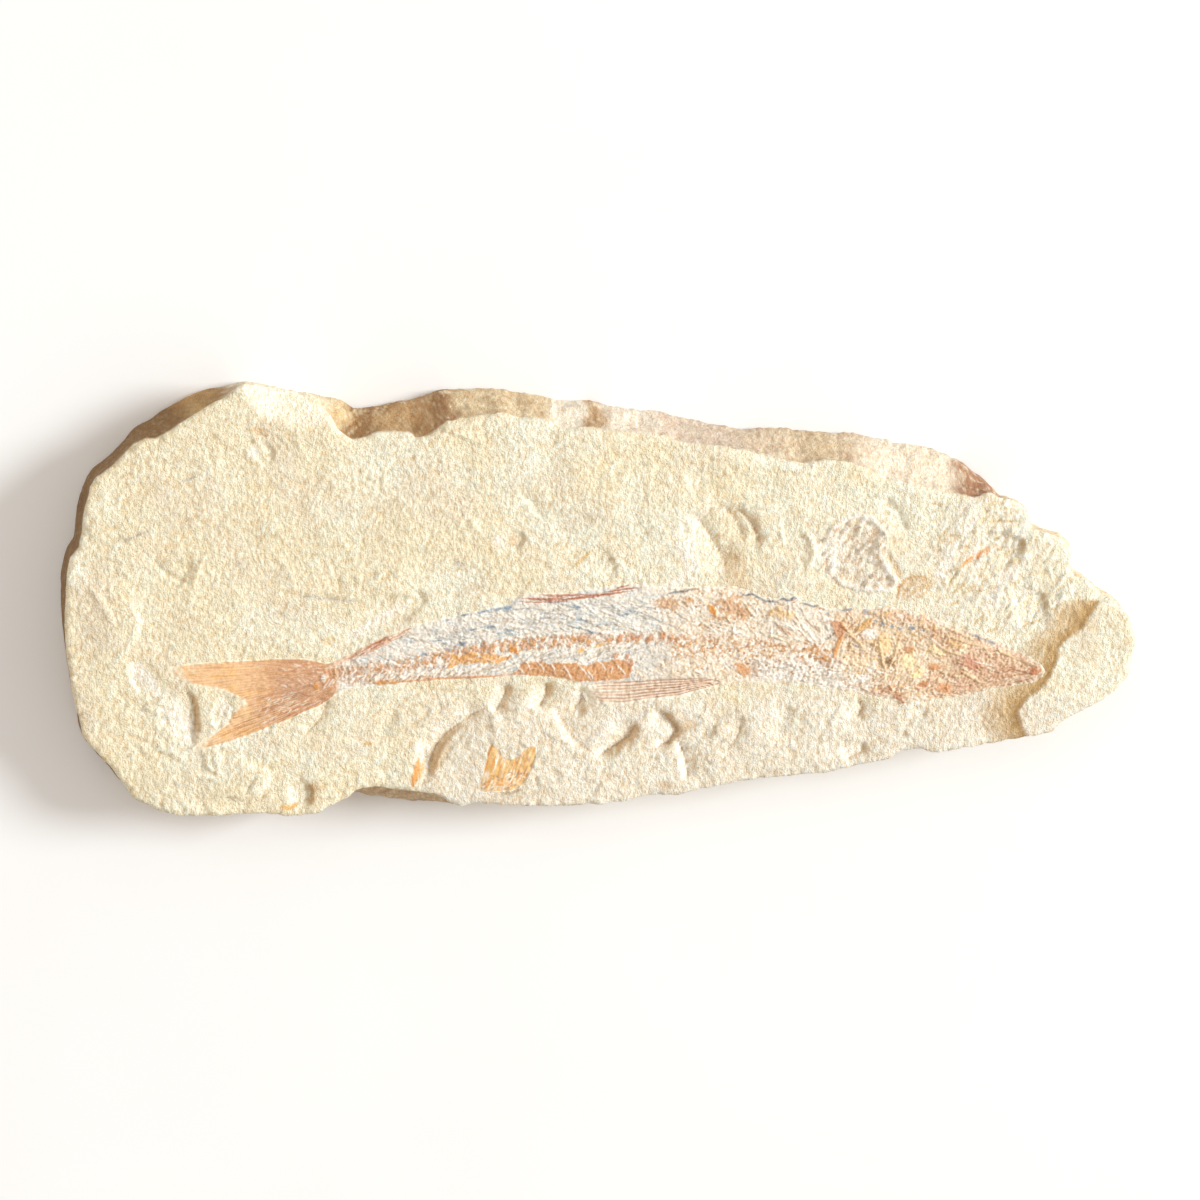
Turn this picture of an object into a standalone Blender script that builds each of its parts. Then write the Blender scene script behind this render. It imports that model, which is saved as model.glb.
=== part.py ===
"""Fossil fish slab: a broken plate of pale limestone that lies on its back, with a long slender
fossil fish in low relief across its face and a scrap of bone near its lower edge.

The head points along +X, the upper edge of the plate faces +Y and the fossil looks up along +Z.
The underside is flat and lies on z = 0. All sizes below are in millimetres, from a point near the
middle of the face; MM makes them metres, and MIDDLE sets the plate's middle on the origin.
"""

import math

import bmesh
import bpy
import numpy as np
from mathutils import Vector, noise
from mathutils.geometry import delaunay_2d_cdt

MM = 0.001

# ---- driving dimensions -------------------------------------------------------------------------
FACE_LEVEL = 21.0  # height of the bedding plane that the fish lies in
POCKET_LEVEL = 19.0  # floor of the pockets that hold the bones
GAP = 0.3  # clearance between bone and stone, beneath and all round
FACE_SPACING = 4.0  # distance between the points that shape the open face
EDGE_SPACING = 4.8  # distance between the points along the broken edge
BONE_SPACING = 2.3  # distance between the points that shape a bone's top
EDGE_WANDER = 0.5  # how far a long stretch of the broken edge strays from straight
BONE_WANDER = 0.12  # the same for a bone's margin
MIDDLE = (1.24, -0.41)  # middle of the whole plate's footprint, which is set on the origin

# The edge of the open face, clockwise from the left: x, y, and how far the underside stands
# out beyond that point (or falls short of it, where the face overhangs).
SLAB_EDGE = (
    (-147.8, -2.8, -0.5), (-147.0, 8.4, 0.0), (-146.2, 11.8, -1.5), (-143.4, 14.6, 1.0), (-142.0, 24.6, 0.5),
    (-140.3, 31.6, 0.0), (-138.6, 34.2, -0.5), (-133.3, 37.8, 0.5), (-128.2, 43.4, 0.0), (-124.9, 44.8, 1.0),
    (-122.1, 44.8, 2.5), (-108.1, 54.0, 1.5), (-101.9, 57.1, -1.0), (-99.7, 59.1, -2.5), (-97.2, 59.9, -3.0),
    (-88.5, 58.5, -2.5), (-77.8, 55.4, -2.0), (-74.5, 52.6, 2.0), (-70.0, 44.8, 8.0), (-67.8, 44.0, 7.0),
    (-61.9, 46.5, 4.0), (-54.9, 47.0, 4.0), (-51.5, 46.5, 8.0), (-50.4, 45.1, 7.5), (-46.5, 46.2, 7.0),
    (-41.4, 50.1, 5.0), (-26.3, 52.4, 1.0), (-21.3, 51.2, 2.0), (-14.3, 51.1, 2.0), (-10.1, 48.4, 4.5),
    (-4.5, 48.7, 3.5), (19.3, 46.5, 2.0), (23.5, 44.5, 3.0), (41.7, 42.3, 2.0), (48.7, 40.0, 5.0),
    (58.8, 38.4, 6.0), (65.5, 39.2, 4.5), (71.1, 38.9, 3.5), (78.1, 35.8, 7.0), (81.2, 33.6, 7.5),
    (106.1, 28.8, 4.0), (110.6, 30.5, -2.5), (113.1, 28.8, -3.0), (117.3, 28.0, -3.0), (119.8, 26.3, -2.0),
    (121.2, 24.4, -1.0), (121.8, 21.3, -1.5), (123.2, 19.9, -3.0), (128.8, 18.5, -3.0), (131.6, 16.8, -2.0),
    (133.6, 14.6, -1.5), (134.7, 12.0, -0.5), (133.8, 9.0, -0.5), (134.7, 6.4, -2.0), (137.8, 5.9, -2.5),
    (142.2, 1.1, -2.0), (144.5, 0.6, -1.5), (149.2, -6.2, -1.0), (150.6, -10.1, -1.5), (150.9, -13.4, -0.5),
    (150.4, -18.2, -0.5), (149.0, -21.3, -1.0), (146.4, -24.9, -1.5), (143.4, -27.4, -0.5), (131.3, -32.5, -0.5),
    (130.2, -35.0, -1.0), (109.2, -40.6, -1.5), (95.5, -42.6, -0.5), (93.0, -41.2, -0.5), (89.3, -41.4, -1.0),
    (81.8, -44.8, -1.5), (65.5, -48.2, -0.5), (48.7, -49.6, -0.5), (32.5, -52.4, -1.0), (23.5, -54.9, -1.5),
    (17.9, -54.3, -0.5), (11.2, -56.0, -0.5), (1.1, -57.1, -1.0), (-15.7, -57.8, -1.5), (-32.5, -56.8, -0.5),
    (-37.2, -57.7, -0.5), (-40.9, -56.6, 3.5), (-44.8, -54.0, 5.5), (-61.6, -52.1, 5.5), (-65.5, -52.4, 6.0),
    (-67.5, -53.2, 5.5), (-68.9, -55.4, -1.5), (-74.5, -57.4, -0.5), (-76.7, -59.4, -0.5), (-85.7, -60.4, -1.0),
    (-93.0, -59.6, -1.5), (-112.6, -60.4, -0.5), (-117.9, -59.9, -0.5), (-122.1, -58.8, -1.0),
    (-129.4, -55.2, -1.5), (-136.1, -45.6, -0.5), (-141.4, -40.0, -0.5), (-143.1, -37.5, -1.0),
    (-146.2, -26.3, -1.5), (-148.1, -7.3, 0.0),
)

# The fish, clockwise from the tip of its upper tail lobe: back, dorsal fin, head, belly, pelvic
# fin, lower tail lobe and the fork.
FISH_EDGE = (
    (-119.8, -19.9), (-116.5, -18.8), (-110.9, -18.2), (-89.9, -16.9), (-82.9, -16.8), (-78.7, -17.4),
    (-75.9, -18.2), (-73.1, -17.9), (-61.9, -12.0), (-53.5, -8.7), (-46.5, -6.4), (-24.1, -1.4),
    (-23.5, 0.3), (-18.5, 1.7), (-10.1, 1.4), (6.7, 3.9), (13.7, 4.5), (20.2, 3.1), (38.9, 3.4),
    (43.1, 2.2), (47.3, 0.3), (51.5, 0.0), (56.3, 0.8), (58.0, -0.8), (62.2, -1.4), (65.5, -3.1),
    (70.6, -2.5), (74.5, -3.1), (82.3, -2.0), (94.9, -5.6), (115.9, -13.2), (122.9, -16.8),
    (125.4, -18.5), (126.6, -19.9), (124.3, -22.7), (113.1, -24.6), (104.7, -26.9), (99.1, -27.4),
    (87.4, -29.7), (80.9, -27.2), (61.3, -23.8), (54.3, -23.0), (47.3, -23.2), (40.3, -23.0),
    (37.0, -23.5), (35.3, -24.4), (23.5, -27.4), (8.1, -29.4), (1.1, -29.4), (-1.7, -28.0),
    (-3.1, -25.2), (-5.0, -23.2), (-12.9, -21.3), (-22.7, -21.3), (-43.7, -22.1), (-54.9, -23.5),
    (-60.5, -23.8), (-70.3, -25.2), (-73.1, -26.6), (-75.0, -28.6), (-77.8, -30.2), (-81.5, -31.4),
    (-85.7, -33.6), (-102.5, -40.0), (-109.5, -42.0), (-112.0, -42.3), (-112.8, -41.4), (-109.5, -40.3),
    (-104.7, -36.7), (-103.0, -35.3), (-101.9, -32.8), (-100.2, -30.8), (-98.0, -29.1), (-99.7, -27.4),
    (-102.5, -26.0), (-105.8, -24.9), (-113.7, -23.2), (-119.8, -20.7),
)

# The scrap of bone near the lower edge, clockwise from its left prong.
SCRAP_EDGE = (
    (-30.0, -42.0), (-28.8, -41.2), (-26.9, -42.6), (-26.0, -44.8), (-23.5, -45.6), (-20.7, -44.5),
    (-19.3, -42.6), (-17.9, -41.2), (-16.5, -42.0), (-16.5, -44.8), (-17.6, -48.2), (-19.3, -51.5),
    (-21.3, -53.4), (-23.5, -54.4), (-29.7, -54.6), (-31.6, -54.2), (-32.5, -53.2), (-31.4, -49.8),
    (-30.5, -46.5),
)

# ---- the stone's face ---------------------------------------------------------------------------
# Hollows where the stone was dug or split away: x, y, half length, half width, turn in degrees,
# depth. A lump is given in the same way, with its height.
HOLLOWS = (
    (-122.6, -25.5, 9.0, 7.0, 120, 2.2),  # dug out round the tip of the tail
    (-113.5, -34.5, 9.0, 4.6, 70, 2.4),  # dug out between the tail lobes
    (-100.5, -31.0, 3.6, 3.0, 0, 1.6),  # the fork itself
    (-25.5, 16.8, 4.4, 3.8, 20, 2.0),  # round pit above the fish
    (35.3, 12.6, 14.5, 8.0, 105, 2.4),  # broad hollow above the fish
    (-60.5, -5.5, 15.0, 4.5, 25, 1.4),  # trough along the back
    (5.5, -38.0, 8.5, 4.6, 55, 1.8),  # flakes lost below the pelvic fin
    (16.0, -37.5, 6.8, 4.8, 80, 2.2),
    (26.3, -44.5, 8.0, 3.0, 95, 1.4),
    (69.7, -31.4, 5.5, 3.4, 10, 1.2),  # flakes lost below the gill cover
    (69.2, -41.5, 7.0, 3.0, 5, 1.3),
    (108.0, 12.0, 13.0, 8.0, 30, 1.6),  # chiselled corner above the snout
    (122.0, -2.0, 8.0, 5.0, 130, 1.2),
    (-117.9, 7.0, 7.0, 4.0, 30, 0.9),
    (-41.5, -41.5, 9.0, 3.2, 60, 1.5),  # hooked groove near the lower edge
    (-83.0, -55.0, 6.0, 4.0, 100, 1.5),
)
LUMPS = (
    (72.5, 11.5, 13.0, 9.5, 100, 2.0),  # rough oval lump above the gill cover
    (-105.8, -31.4, 4.0, 3.4, 90, 1.2),  # stone left standing in the fork
    (-136.0, -8.0, 9.0, 20.0, 0, 0.9),
    (-111.0, -51.0, 20.0, 7.0, 0, 1.0),
    (1.1, 29.0, 30.0, 11.0, 175, 1.0),
    (-60.0, 22.0, 26.0, 9.0, 170, 0.8),
)

# Long low forms: the points they run through, half width, height (negative for a groove).
RIDGES = (
    (((78.1, 29.4), (84.0, 24.5), (87.1, 18.2)), 2.4, 1.3),
    (((-22.7, 30.8), (-18.0, 28.0), (-14.3, 22.4)), 2.2, 0.9),
    (((-43.7, 40.6), (-41.7, 30.8), (-38.6, 24.6), (-35.3, 14.0)), 2.0, -1.0),
    (((-83.7, 1.1), (-65.5, -0.6)), 2.0, -0.8),
    (((-112.6, 4.2), (-109.2, 12.0)), 2.0, -0.9),
)

# The right-hand end is a higher bed. Its rim, as x for each distance down from the fish's back.
RIM_DOWN = (-0.8, 4.0, 7.8, 11.5, 14.0, 16.8, 23.0, 28.0, 31.5, 35.0, 40.0)
RIM_X = (142.2, 139.5, 136.9, 132.0, 129.9, 130.2, 127.1, 121.5, 119.6, 120.1, 124.0)
RIM_RISE = 2.8
RIM_RUN = 7.5

# The conchoidal flake lost from the upper left edge: the line it starts from, and its slope.
FLAKE_X = (-101.5, -93.5, -82.9, -74.5, -70.5)
FLAKE_Y = (61.5, 49.0, 47.0, 47.6, 52.0)
FLAKE_SLOPE = 0.62
FLAKE_DEPTH = 9.0

# ---- the broken edge ----------------------------------------------------------------------------
# The wall's rings, from the face down: share of the height, share of the underside's reach, and
# how far this bed of the stone stands proud of or behind its neighbours.
WALL_RINGS = (
    (0.94, 0.02, 0.3),
    (0.76, 0.22, -1.0),
    (0.67, 0.45, 1.3),
    (0.44, 0.68, -0.9),
    (0.35, 0.86, 1.2),
    (0.07, 1.04, 0.3),
)
WALL_ROUGHNESS = 2.0  # how far the wall wanders in and out
BED_ROUGHNESS = 1.1  # how unevenly a bed stands proud

# ---- the fish's relief --------------------------------------------------------------------------
SCUTE_ROW = (
    (-73.1, -21.0), (-59.1, -19.0), (-40.9, -15.4), (-26.9, -12.6), (-10.1, -11.2), (6.7, -10.6),
    (29.1, -11.2), (45.9, -12.6), (57.1, -14.0), (65.5, -16.8),
)
SCUTE_PITCH = 3.1
SCUTE_HEIGHT = 0.7
SCUTE_RADIUS = 1.4
GILL_COVER = ((69.7, -8.7), (68.0, -12.6), (67.2, -16.8), (69.2, -21.3), (72.8, -24.6))
SKULL_ROOF = ((76.7, -5.0), (89.3, -7.6), (99.1, -10.4), (113.1, -14.6), (124.3, -19.3))
JAW = ((86.5, -25.2), (99.1, -23.5), (113.1, -21.6), (123.4, -20.6))
BACKBONE_RIDGE = ((-70.3, -19.5), (-54.9, -14.0), (-35.3, -9.0), (-10.1, -5.0), (17.9, -2.8), (45.9, -3.4), (64.0, -7.5))
CROWN = 1.3  # how far the middle of a bone stands above its margin
CROWN_RUN = 2.6
BONE_LIP = 0.25  # how far a bone's margin stands above the stone beside it

# Fin rays: where they spread from, and the far ends of the first and last ray.
TAIL_UPPER = ((-72.0, -20.5), (-119.0, -20.6), (-92.0, -28.5))
TAIL_LOWER = ((-72.0, -22.6), (-112.0, -41.6), (-101.5, -31.5))
PELVIC_FIN = ((18.0, 10.0), (0.5, -28.6), (32.0, -25.2))
RAY_COUNTS = (5, 4, 8)

# ---- colours, linear ----------------------------------------------------------------------------
LIMESTONE = (0.800, 0.735, 0.565)
BONE = (0.640, 0.405, 0.215)
SCRAP_BONE = (0.760, 0.500, 0.190)


def resample(points, spacing, closed=True, wander=0.0):
    """The same line with its corners kept and its long stretches divided. Extra columns are
    carried. The new points stand off the line by up to the wander, to one side or the other."""
    points = np.array(points, float)
    ends = np.roll(points, -1, axis=0) if closed else points[1:]
    rows = []
    for start, end in zip(points, ends):
        pieces = max(1, round(math.dist(start[:2], end[:2]) / spacing))
        for step in range(pieces):
            row = start + (end - start) * step / pieces
            if step and wander:
                aside = (0.4 + 0.6 * math.sin(7.0 * row[0] + 3.0 * row[1]) ** 2) * wander
                row[1] += aside if step % 2 else -aside
            rows.append(row)
    if not closed:
        rows.append(points[-1])
    return np.array(rows)


def outward(loop, reach=1):
    """Unit normals of a clockwise loop, each taken across this many neighbours on either side."""
    along = np.roll(loop[:, :2], -reach, axis=0) - np.roll(loop[:, :2], reach, axis=0)
    along /= np.linalg.norm(along, axis=1)[:, None]
    return np.stack([-along[:, 1], along[:, 0]], axis=1)


def distance_to(points, line, closed=False):
    """Distance of each point from a polyline."""
    line = np.array(line, float)[:, :2]
    ends = np.roll(line, -1, axis=0) if closed else line[1:]
    nearest = np.full(len(points), np.inf)
    for start, end in zip(line, ends):
        run = end - start
        share = np.clip((points - start) @ run / max(run @ run, 1e-9), 0, 1)
        nearest = np.minimum(nearest, np.linalg.norm(points - start - share[:, None] * run, axis=1))
    return nearest


def inside(points, loop):
    """True for each point inside a closed loop."""
    found = np.zeros(len(points), bool)
    for start, end in zip(loop, np.roll(loop, -1, axis=0)):
        spans = (start[1] > points[:, 1]) != (end[1] > points[:, 1])
        rise = end[1] - start[1] if end[1] != start[1] else 1.0
        crossing = start[0] + (points[:, 1] - start[1]) / rise * (end[0] - start[0])
        found ^= spans & (points[:, 0] < crossing)
    return found


def smoothstep(value):
    value = np.clip(value, 0, 1)
    return value * value * (3 - 2 * value)


def dome(points, x, y, half_length, half_width, turn, height):
    """A rounded form with an oval plan, flat beyond its rim."""
    angle = math.radians(turn)
    along = (points[:, 0] - x) * math.cos(angle) + (points[:, 1] - y) * math.sin(angle)
    across = (points[:, 1] - y) * math.cos(angle) - (points[:, 0] - x) * math.sin(angle)
    radius = np.hypot(along / half_length, across / half_width)
    return height * smoothstep(1.25 - radius)


def weathering(points, scale, height, seed):
    """Smooth random relief."""
    return height * np.array([noise.noise(Vector((x / scale, y / scale, seed))) for x, y in points])


def stone_height(points):
    """Height of the open face above the underside."""
    height = np.full(len(points), FACE_LEVEL)
    height += weathering(points, 17.0, 0.9, 3.1) + weathering(points, 6.0, 0.7, 8.4)
    for hollow in HOLLOWS:
        height -= dome(points, *hollow)
    for lump in LUMPS:
        height += dome(points, *lump)
    for line, half_width, rise in RIDGES:
        height += rise * smoothstep(1.2 - distance_to(points, line) / half_width)
    rim = np.interp(-points[:, 1], RIM_DOWN, RIM_X, left=200.0)
    height += RIM_RISE * smoothstep(1 + (points[:, 0] - rim) / RIM_RUN)
    beyond = points[:, 1] - np.interp(points[:, 0], FLAKE_X, FLAKE_Y, left=200.0, right=200.0)
    return height - np.clip(beyond * FLAKE_SLOPE, 0, FLAKE_DEPTH)


def fin_rays(fan, count):
    """The rays of one fin, as lines from near its root to its far edge."""
    root, first, last = (np.array(end) for end in fan)
    far_ends = [first + (last - first) * ray / (count - 1) for ray in range(count)]
    return [((root + 0.25 * (end - root)), end) for end in far_ends]


def all_fin_rays():
    fans = zip((TAIL_UPPER, TAIL_LOWER, PELVIC_FIN), RAY_COUNTS)
    return [ray for fan, count in fans for ray in fin_rays(fan, count)]


def scute_centres():
    row = resample(SCUTE_ROW, SCUTE_PITCH, closed=False)
    return row[1:]


def crowned(points, edge):
    """Height of a bone's top: it follows the stone and swells away from the bone's margin."""
    swell = 1 - np.exp(-distance_to(points, edge, closed=True) / CROWN_RUN)
    return stone_height(points) + BONE_LIP + CROWN * swell


def fish_height(points):
    height = crowned(points, FISH_EDGE)
    for x, y in scute_centres():
        near = np.hypot(points[:, 0] - x, points[:, 1] - y) / SCUTE_RADIUS
        height += SCUTE_HEIGHT * smoothstep(1 - near)
    for start, end in all_fin_rays():
        height += 0.55 * smoothstep(1 - distance_to(points, (start, end)) / 0.9)
    for line, rise in ((GILL_COVER, 0.8), (SKULL_ROOF, 0.6), (BACKBONE_RIDGE, 0.5), (JAW, -0.6)):
        height += rise * smoothstep(1.2 - distance_to(points, line) / 2.2)
    return height


def scattered(loop, spacing, keep_off):
    """Points in staggered rows inside a loop, moved a little off their rows, clear of its edge."""
    low = loop[:, :2].min(axis=0)
    high = loop[:, :2].max(axis=0)
    rows = np.arange(low[1], high[1], spacing * math.sqrt(0.75))
    grid = [
        (x + spacing * (row % 2) / 2, y)
        for row, y in enumerate(rows)
        for x in np.arange(low[0], high[0], spacing)
    ]
    points = np.array(grid)
    points[:, 0] += weathering(points, 3.1, 0.35 * spacing, 21.0)
    points[:, 1] += weathering(points, 3.1, 0.35 * spacing, 55.0)
    far_enough = distance_to(points, loop, closed=True) > keep_off
    return points[far_enough & inside(points, loop[:, :2])]


def triangulate(loops, extra):
    """Points and triangles over everything that the first loop encloses and the others don't."""
    points = np.concatenate([loop[:, :2] for loop in loops] + [extra])
    edges = []
    start = 0
    for loop in loops:
        numbers = range(start, start + len(loop))
        edges.extend((number, start + (number - start + 1) % len(loop)) for number in numbers)
        start += len(loop)
    found = delaunay_2d_cdt([Vector(point) for point in points], edges, [], 0, 1e-6)
    placed = np.array([tuple(point) for point in found[0]])
    triangles = np.array(found[2])
    centres = placed[triangles].mean(axis=1)
    wanted = inside(centres, loops[0][:, :2])
    for hole in loops[1:]:
        wanted &= ~inside(centres, hole[:, :2])
    return placed, triangles[wanted]


def add_surface(bm, points, heights, triangles):
    """The triangles, wound to face up. Returns their vertices."""
    verts = [bm.verts.new((x * MM, y * MM, z * MM)) for (x, y), z in zip(points, heights)]
    for a, b, c in triangles:
        run, rise = points[b] - points[a], points[c] - points[a]
        counterclockwise = run[0] * rise[1] - run[1] * rise[0] > 0
        face = bm.faces.new([verts[a], verts[b], verts[c]] if counterclockwise else [verts[a], verts[c], verts[b]])
        face.smooth = True
    return verts


def add_ring(bm, upper, points, heights):
    """A ring of vertices below another, joined to it by a band of faces that looks outward."""
    lower = [bm.verts.new((x * MM, y * MM, z * MM)) for (x, y), z in zip(points, heights)]
    for number in range(len(lower)):
        after = (number + 1) % len(lower)
        bm.faces.new([upper[number], upper[after], lower[after], lower[number]])
    return lower


def finish(bm, name, material, collection):
    bm.normal_update()
    bmesh.ops.recalc_face_normals(bm, faces=bm.faces)
    mesh = bpy.data.meshes.new(name)
    bm.to_mesh(mesh)
    bm.free()
    mesh.materials.append(material)
    piece = bpy.data.objects.new(name, mesh)
    piece.location = (-MIDDLE[0] * MM, -MIDDLE[1] * MM, 0.0)
    collection.objects.link(piece)
    return piece


def add_pocket(bm, rim, loop):
    """A straight-sided, flat-floored pocket below a rim that is already in the face."""
    floor = add_ring(bm, rim, loop, np.full(len(loop), POCKET_LEVEL))
    bm.faces.new(floor)


def limestone_slab(pockets):
    """The stone: its face with the pockets, the broken walls in rings, and the flat underside."""
    edge = resample(SLAB_EDGE, EDGE_SPACING, wander=EDGE_WANDER)
    extra = scattered(edge, FACE_SPACING, 0.55 * FACE_SPACING)
    for pocket in pockets:
        clear = distance_to(extra, pocket, closed=True) > 0.5 * FACE_SPACING
        extra = extra[clear & ~inside(extra, pocket)]
    loops = [edge, *pockets]
    points, triangles = triangulate(loops, extra)
    heights = stone_height(points)

    bm = bmesh.new()
    verts = add_surface(bm, points, heights, triangles)
    start = len(edge)
    for pocket in pockets:
        rim = verts[start : start + len(pocket)]
        add_pocket(bm, rim, pocket)
        start += len(pocket)

    away = outward(edge, 2)
    ring = verts[: len(edge)]
    for number, (share, reach, proud) in enumerate(WALL_RINGS):
        rough = weathering(edge[:, :2], 9.0, WALL_ROUGHNESS, 30.0 + 1.5 * number)
        bed = 0.8 + weathering(edge[:, :2], 22.0, BED_ROUGHNESS, 50.0 + 7.0 * (number // 2))
        offset = edge[:, 2] * reach + proud * bed + rough * math.sqrt(1 - share)
        levels = heights[: len(edge)] * share + weathering(edge[:, :2], 12.0, 0.8, 70.0 + number) * share
        ring = add_ring(bm, ring, edge[:, :2] + away * offset[:, None], levels)
    foot = edge[:, :2] + away * (offset - 0.7)[:, None]
    ring = add_ring(bm, ring, foot, np.zeros(len(foot)))
    bm.faces.new(ring)
    return bm


def bone(edge, height_of, extra):
    """A bone: a modelled top, upright sides and a flat underside that stands in its pocket."""
    points, triangles = triangulate([edge], extra)
    bm = bmesh.new()
    verts = add_surface(bm, points, height_of(points), triangles)
    foot = add_ring(bm, verts[: len(edge)], edge, np.full(len(edge), POCKET_LEVEL + GAP))
    bm.faces.new(foot)
    return bm


def spaced(points, settled, spacing):
    """The points, in order, that keep this far from the settled ones and from each other."""
    kept = [tuple(point) for point in settled]
    added = []
    for point in points:
        if all(math.dist(point, other) > spacing for other in kept):
            kept.append(tuple(point))
            added.append(tuple(point))
    return added


def fish_points(edge):
    """Points for the fish's top: on the scutes and between them, on the rays and between them."""
    scutes = scute_centres()
    between = (scutes[1:] + scutes[:-1]) / 2
    sides = [centre + (0, side * 1.6) for centre in scutes for side in (-1, 1)]
    rays = all_fin_rays()
    crests = [a + (b - a) * share for a, b in rays for share in np.linspace(0.05, 0.97, 9)]
    middles = [
        ((a + (b - a) * share) + (c + (d - c) * share)) / 2
        for (a, b), (c, d) in zip(rays, rays[1:])
        for share in np.linspace(0.05, 0.97, 9)
    ]
    wanted = np.array([*scutes, *between, *sides, *crests, *middles])
    clear = distance_to(wanted, edge, closed=True) > 0.7
    wanted = wanted[clear & inside(wanted, edge)]
    formed = spaced(wanted, [], 0.6)
    return np.array(formed + spaced(scattered(edge, BONE_SPACING, 1.1), formed, 1.5))


def grown(loop, reach):
    return loop + outward(loop) * reach


def principled(name, colour, roughness):
    material = bpy.data.materials.new(name)
    material.use_nodes = True
    shader = material.node_tree.nodes["Principled BSDF"]
    shader.inputs["Base Color"].default_value = (*colour, 1.0)
    shader.inputs["Roughness"].default_value = roughness
    shader.inputs["Metallic"].default_value = 0.0
    material.diffuse_color = (*colour, 1.0)
    return material


def main():
    for old in list(bpy.data.objects):
        bpy.data.objects.remove(old, do_unlink=True)
    collection = bpy.data.collections.new("fossil_fish_slab")
    bpy.context.scene.collection.children.link(collection)

    fish_edge = resample(FISH_EDGE, BONE_SPACING, wander=BONE_WANDER)
    scrap_edge = resample(SCRAP_EDGE, BONE_SPACING, wander=BONE_WANDER)
    pockets = [grown(fish_edge, GAP), grown(scrap_edge, GAP)]
    finish(
        limestone_slab(pockets),
        "limestone_slab",
        principled("limestone", LIMESTONE, 0.9),
        collection,
    )
    finish(
        bone(fish_edge, fish_height, fish_points(fish_edge)),
        "fossil_fish",
        principled("fossil_bone", BONE, 0.6),
        collection,
    )
    finish(
        bone(scrap_edge, lambda points: crowned(points, SCRAP_EDGE), scattered(scrap_edge, BONE_SPACING, 0.9)),
        "bone_fragment",
        principled("scrap_bone", SCRAP_BONE, 0.6),
        collection,
    )


main()
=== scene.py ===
"""The looks of the fossil fish slab: a broken plate of pale limestone, the fish that lies in its face
and a scrap of bone, all round the fixed frame that carries them.

Forms and marks are plotted on a drawing grid of 0.28 mm squares, x to the right and y down, whose
square (596, 600) is a point near the middle of the stone's face. All other sizes are millimetres,
but for the lights and the camera, which are placed in metres.

In the noises, what a coordinate is divided by is the size of one feature, and the whole number
after the coordinates is a seed: another one gives other stone of the same kind.
"""

import math

import bpy
import numpy as np
from mathutils import Matrix, Vector


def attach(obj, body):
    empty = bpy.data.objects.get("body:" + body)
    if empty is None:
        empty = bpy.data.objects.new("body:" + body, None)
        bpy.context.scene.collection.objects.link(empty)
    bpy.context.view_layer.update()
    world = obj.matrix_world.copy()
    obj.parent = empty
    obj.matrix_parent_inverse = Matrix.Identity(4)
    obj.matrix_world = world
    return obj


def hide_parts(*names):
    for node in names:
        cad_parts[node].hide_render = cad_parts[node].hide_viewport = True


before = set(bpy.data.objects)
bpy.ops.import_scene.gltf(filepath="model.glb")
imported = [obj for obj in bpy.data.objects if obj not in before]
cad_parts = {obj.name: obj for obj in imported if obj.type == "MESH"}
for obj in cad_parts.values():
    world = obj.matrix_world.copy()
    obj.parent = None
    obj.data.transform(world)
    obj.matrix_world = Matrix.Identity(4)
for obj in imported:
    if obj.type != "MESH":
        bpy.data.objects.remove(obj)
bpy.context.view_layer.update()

MM = 0.001
SQUARE = 0.28  # one square of the drawing grid
GRID_MIDDLE = (596.0, 600.0)
PLATE_MIDDLE = (1.24, -0.41)  # the middle of the plate's footprint, which the frame has at its origin

FACE_LEVEL = 21.0
BONE_FLOOR = 19.3
GRAIN_HEIGHT = 0.33
BED_STEP = 0.28
STONE_STEP = 0.58  # mesh spacing of the stone's face
BONE_STEP = 0.24
SCRAP_STEP = 0.25

# Odd numbers that scramble a lattice point's place into a random-looking one.
HASH_X, HASH_Y, HASH_SEED = 374761393, 668265263, 982451653
HASH_FIRST, HASH_SECOND = 1274126177, 2246822519
HASH_MOST = 0xFFFFFFFF  # the largest number of 32 bits


# ---- small tools --------------------------------------------------------------------------------
def at(points):
    """Squares of the drawing grid as millimetres, x to the right and y up."""
    points = np.array(points, float)
    points[:, 0] = (points[:, 0] - GRID_MIDDLE[0]) * SQUARE
    points[:, 1] = (GRID_MIDDLE[1] - points[:, 1]) * SQUARE
    return points


def paint(red, green, blue):
    """A display colour, 0 to 255, as linear light."""
    value = np.array((red, green, blue), float) / 255
    return np.where(value <= 0.04045, value / 12.92, ((value + 0.055) / 1.055) ** 2.4)


def smooth(value):
    """0 below 0 and 1 above 1, with soft ends between."""
    value = np.clip(value, 0, 1)
    return value * value * (3 - 2 * value)


def lattice(ix, iy, seed):
    """A repeatable random number from 0 to 1 for each lattice point."""
    n = ix.astype(np.int64) * HASH_X + iy.astype(np.int64) * HASH_Y + seed * HASH_SEED
    n &= HASH_MOST
    n = ((n ^ (n >> 13)) * HASH_FIRST) & HASH_MOST
    n = ((n ^ (n >> 16)) * HASH_SECOND) & HASH_MOST
    return (n ^ (n >> 15)) / (HASH_MOST + 1.0)


def perlin(x, y, seed):
    """Gradient noise, about -0.7 to 0.7, with features about as big as one unit."""
    x0, y0 = np.floor(x), np.floor(y)
    fx, fy = x - x0, y - y0
    u, v = (f * f * f * (f * (f * 6 - 15) + 10) for f in (fx, fy))
    corner = {}
    for dx in (0, 1):
        for dy in (0, 1):
            turn = lattice(x0 + dx, y0 + dy, seed) * 2 * math.pi
            corner[dx, dy] = np.cos(turn) * (fx - dx) + np.sin(turn) * (fy - dy)
    low = corner[0, 0] + (corner[1, 0] - corner[0, 0]) * u
    high = corner[0, 1] + (corner[1, 1] - corner[0, 1]) * u
    return low + (high - low) * v


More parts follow.
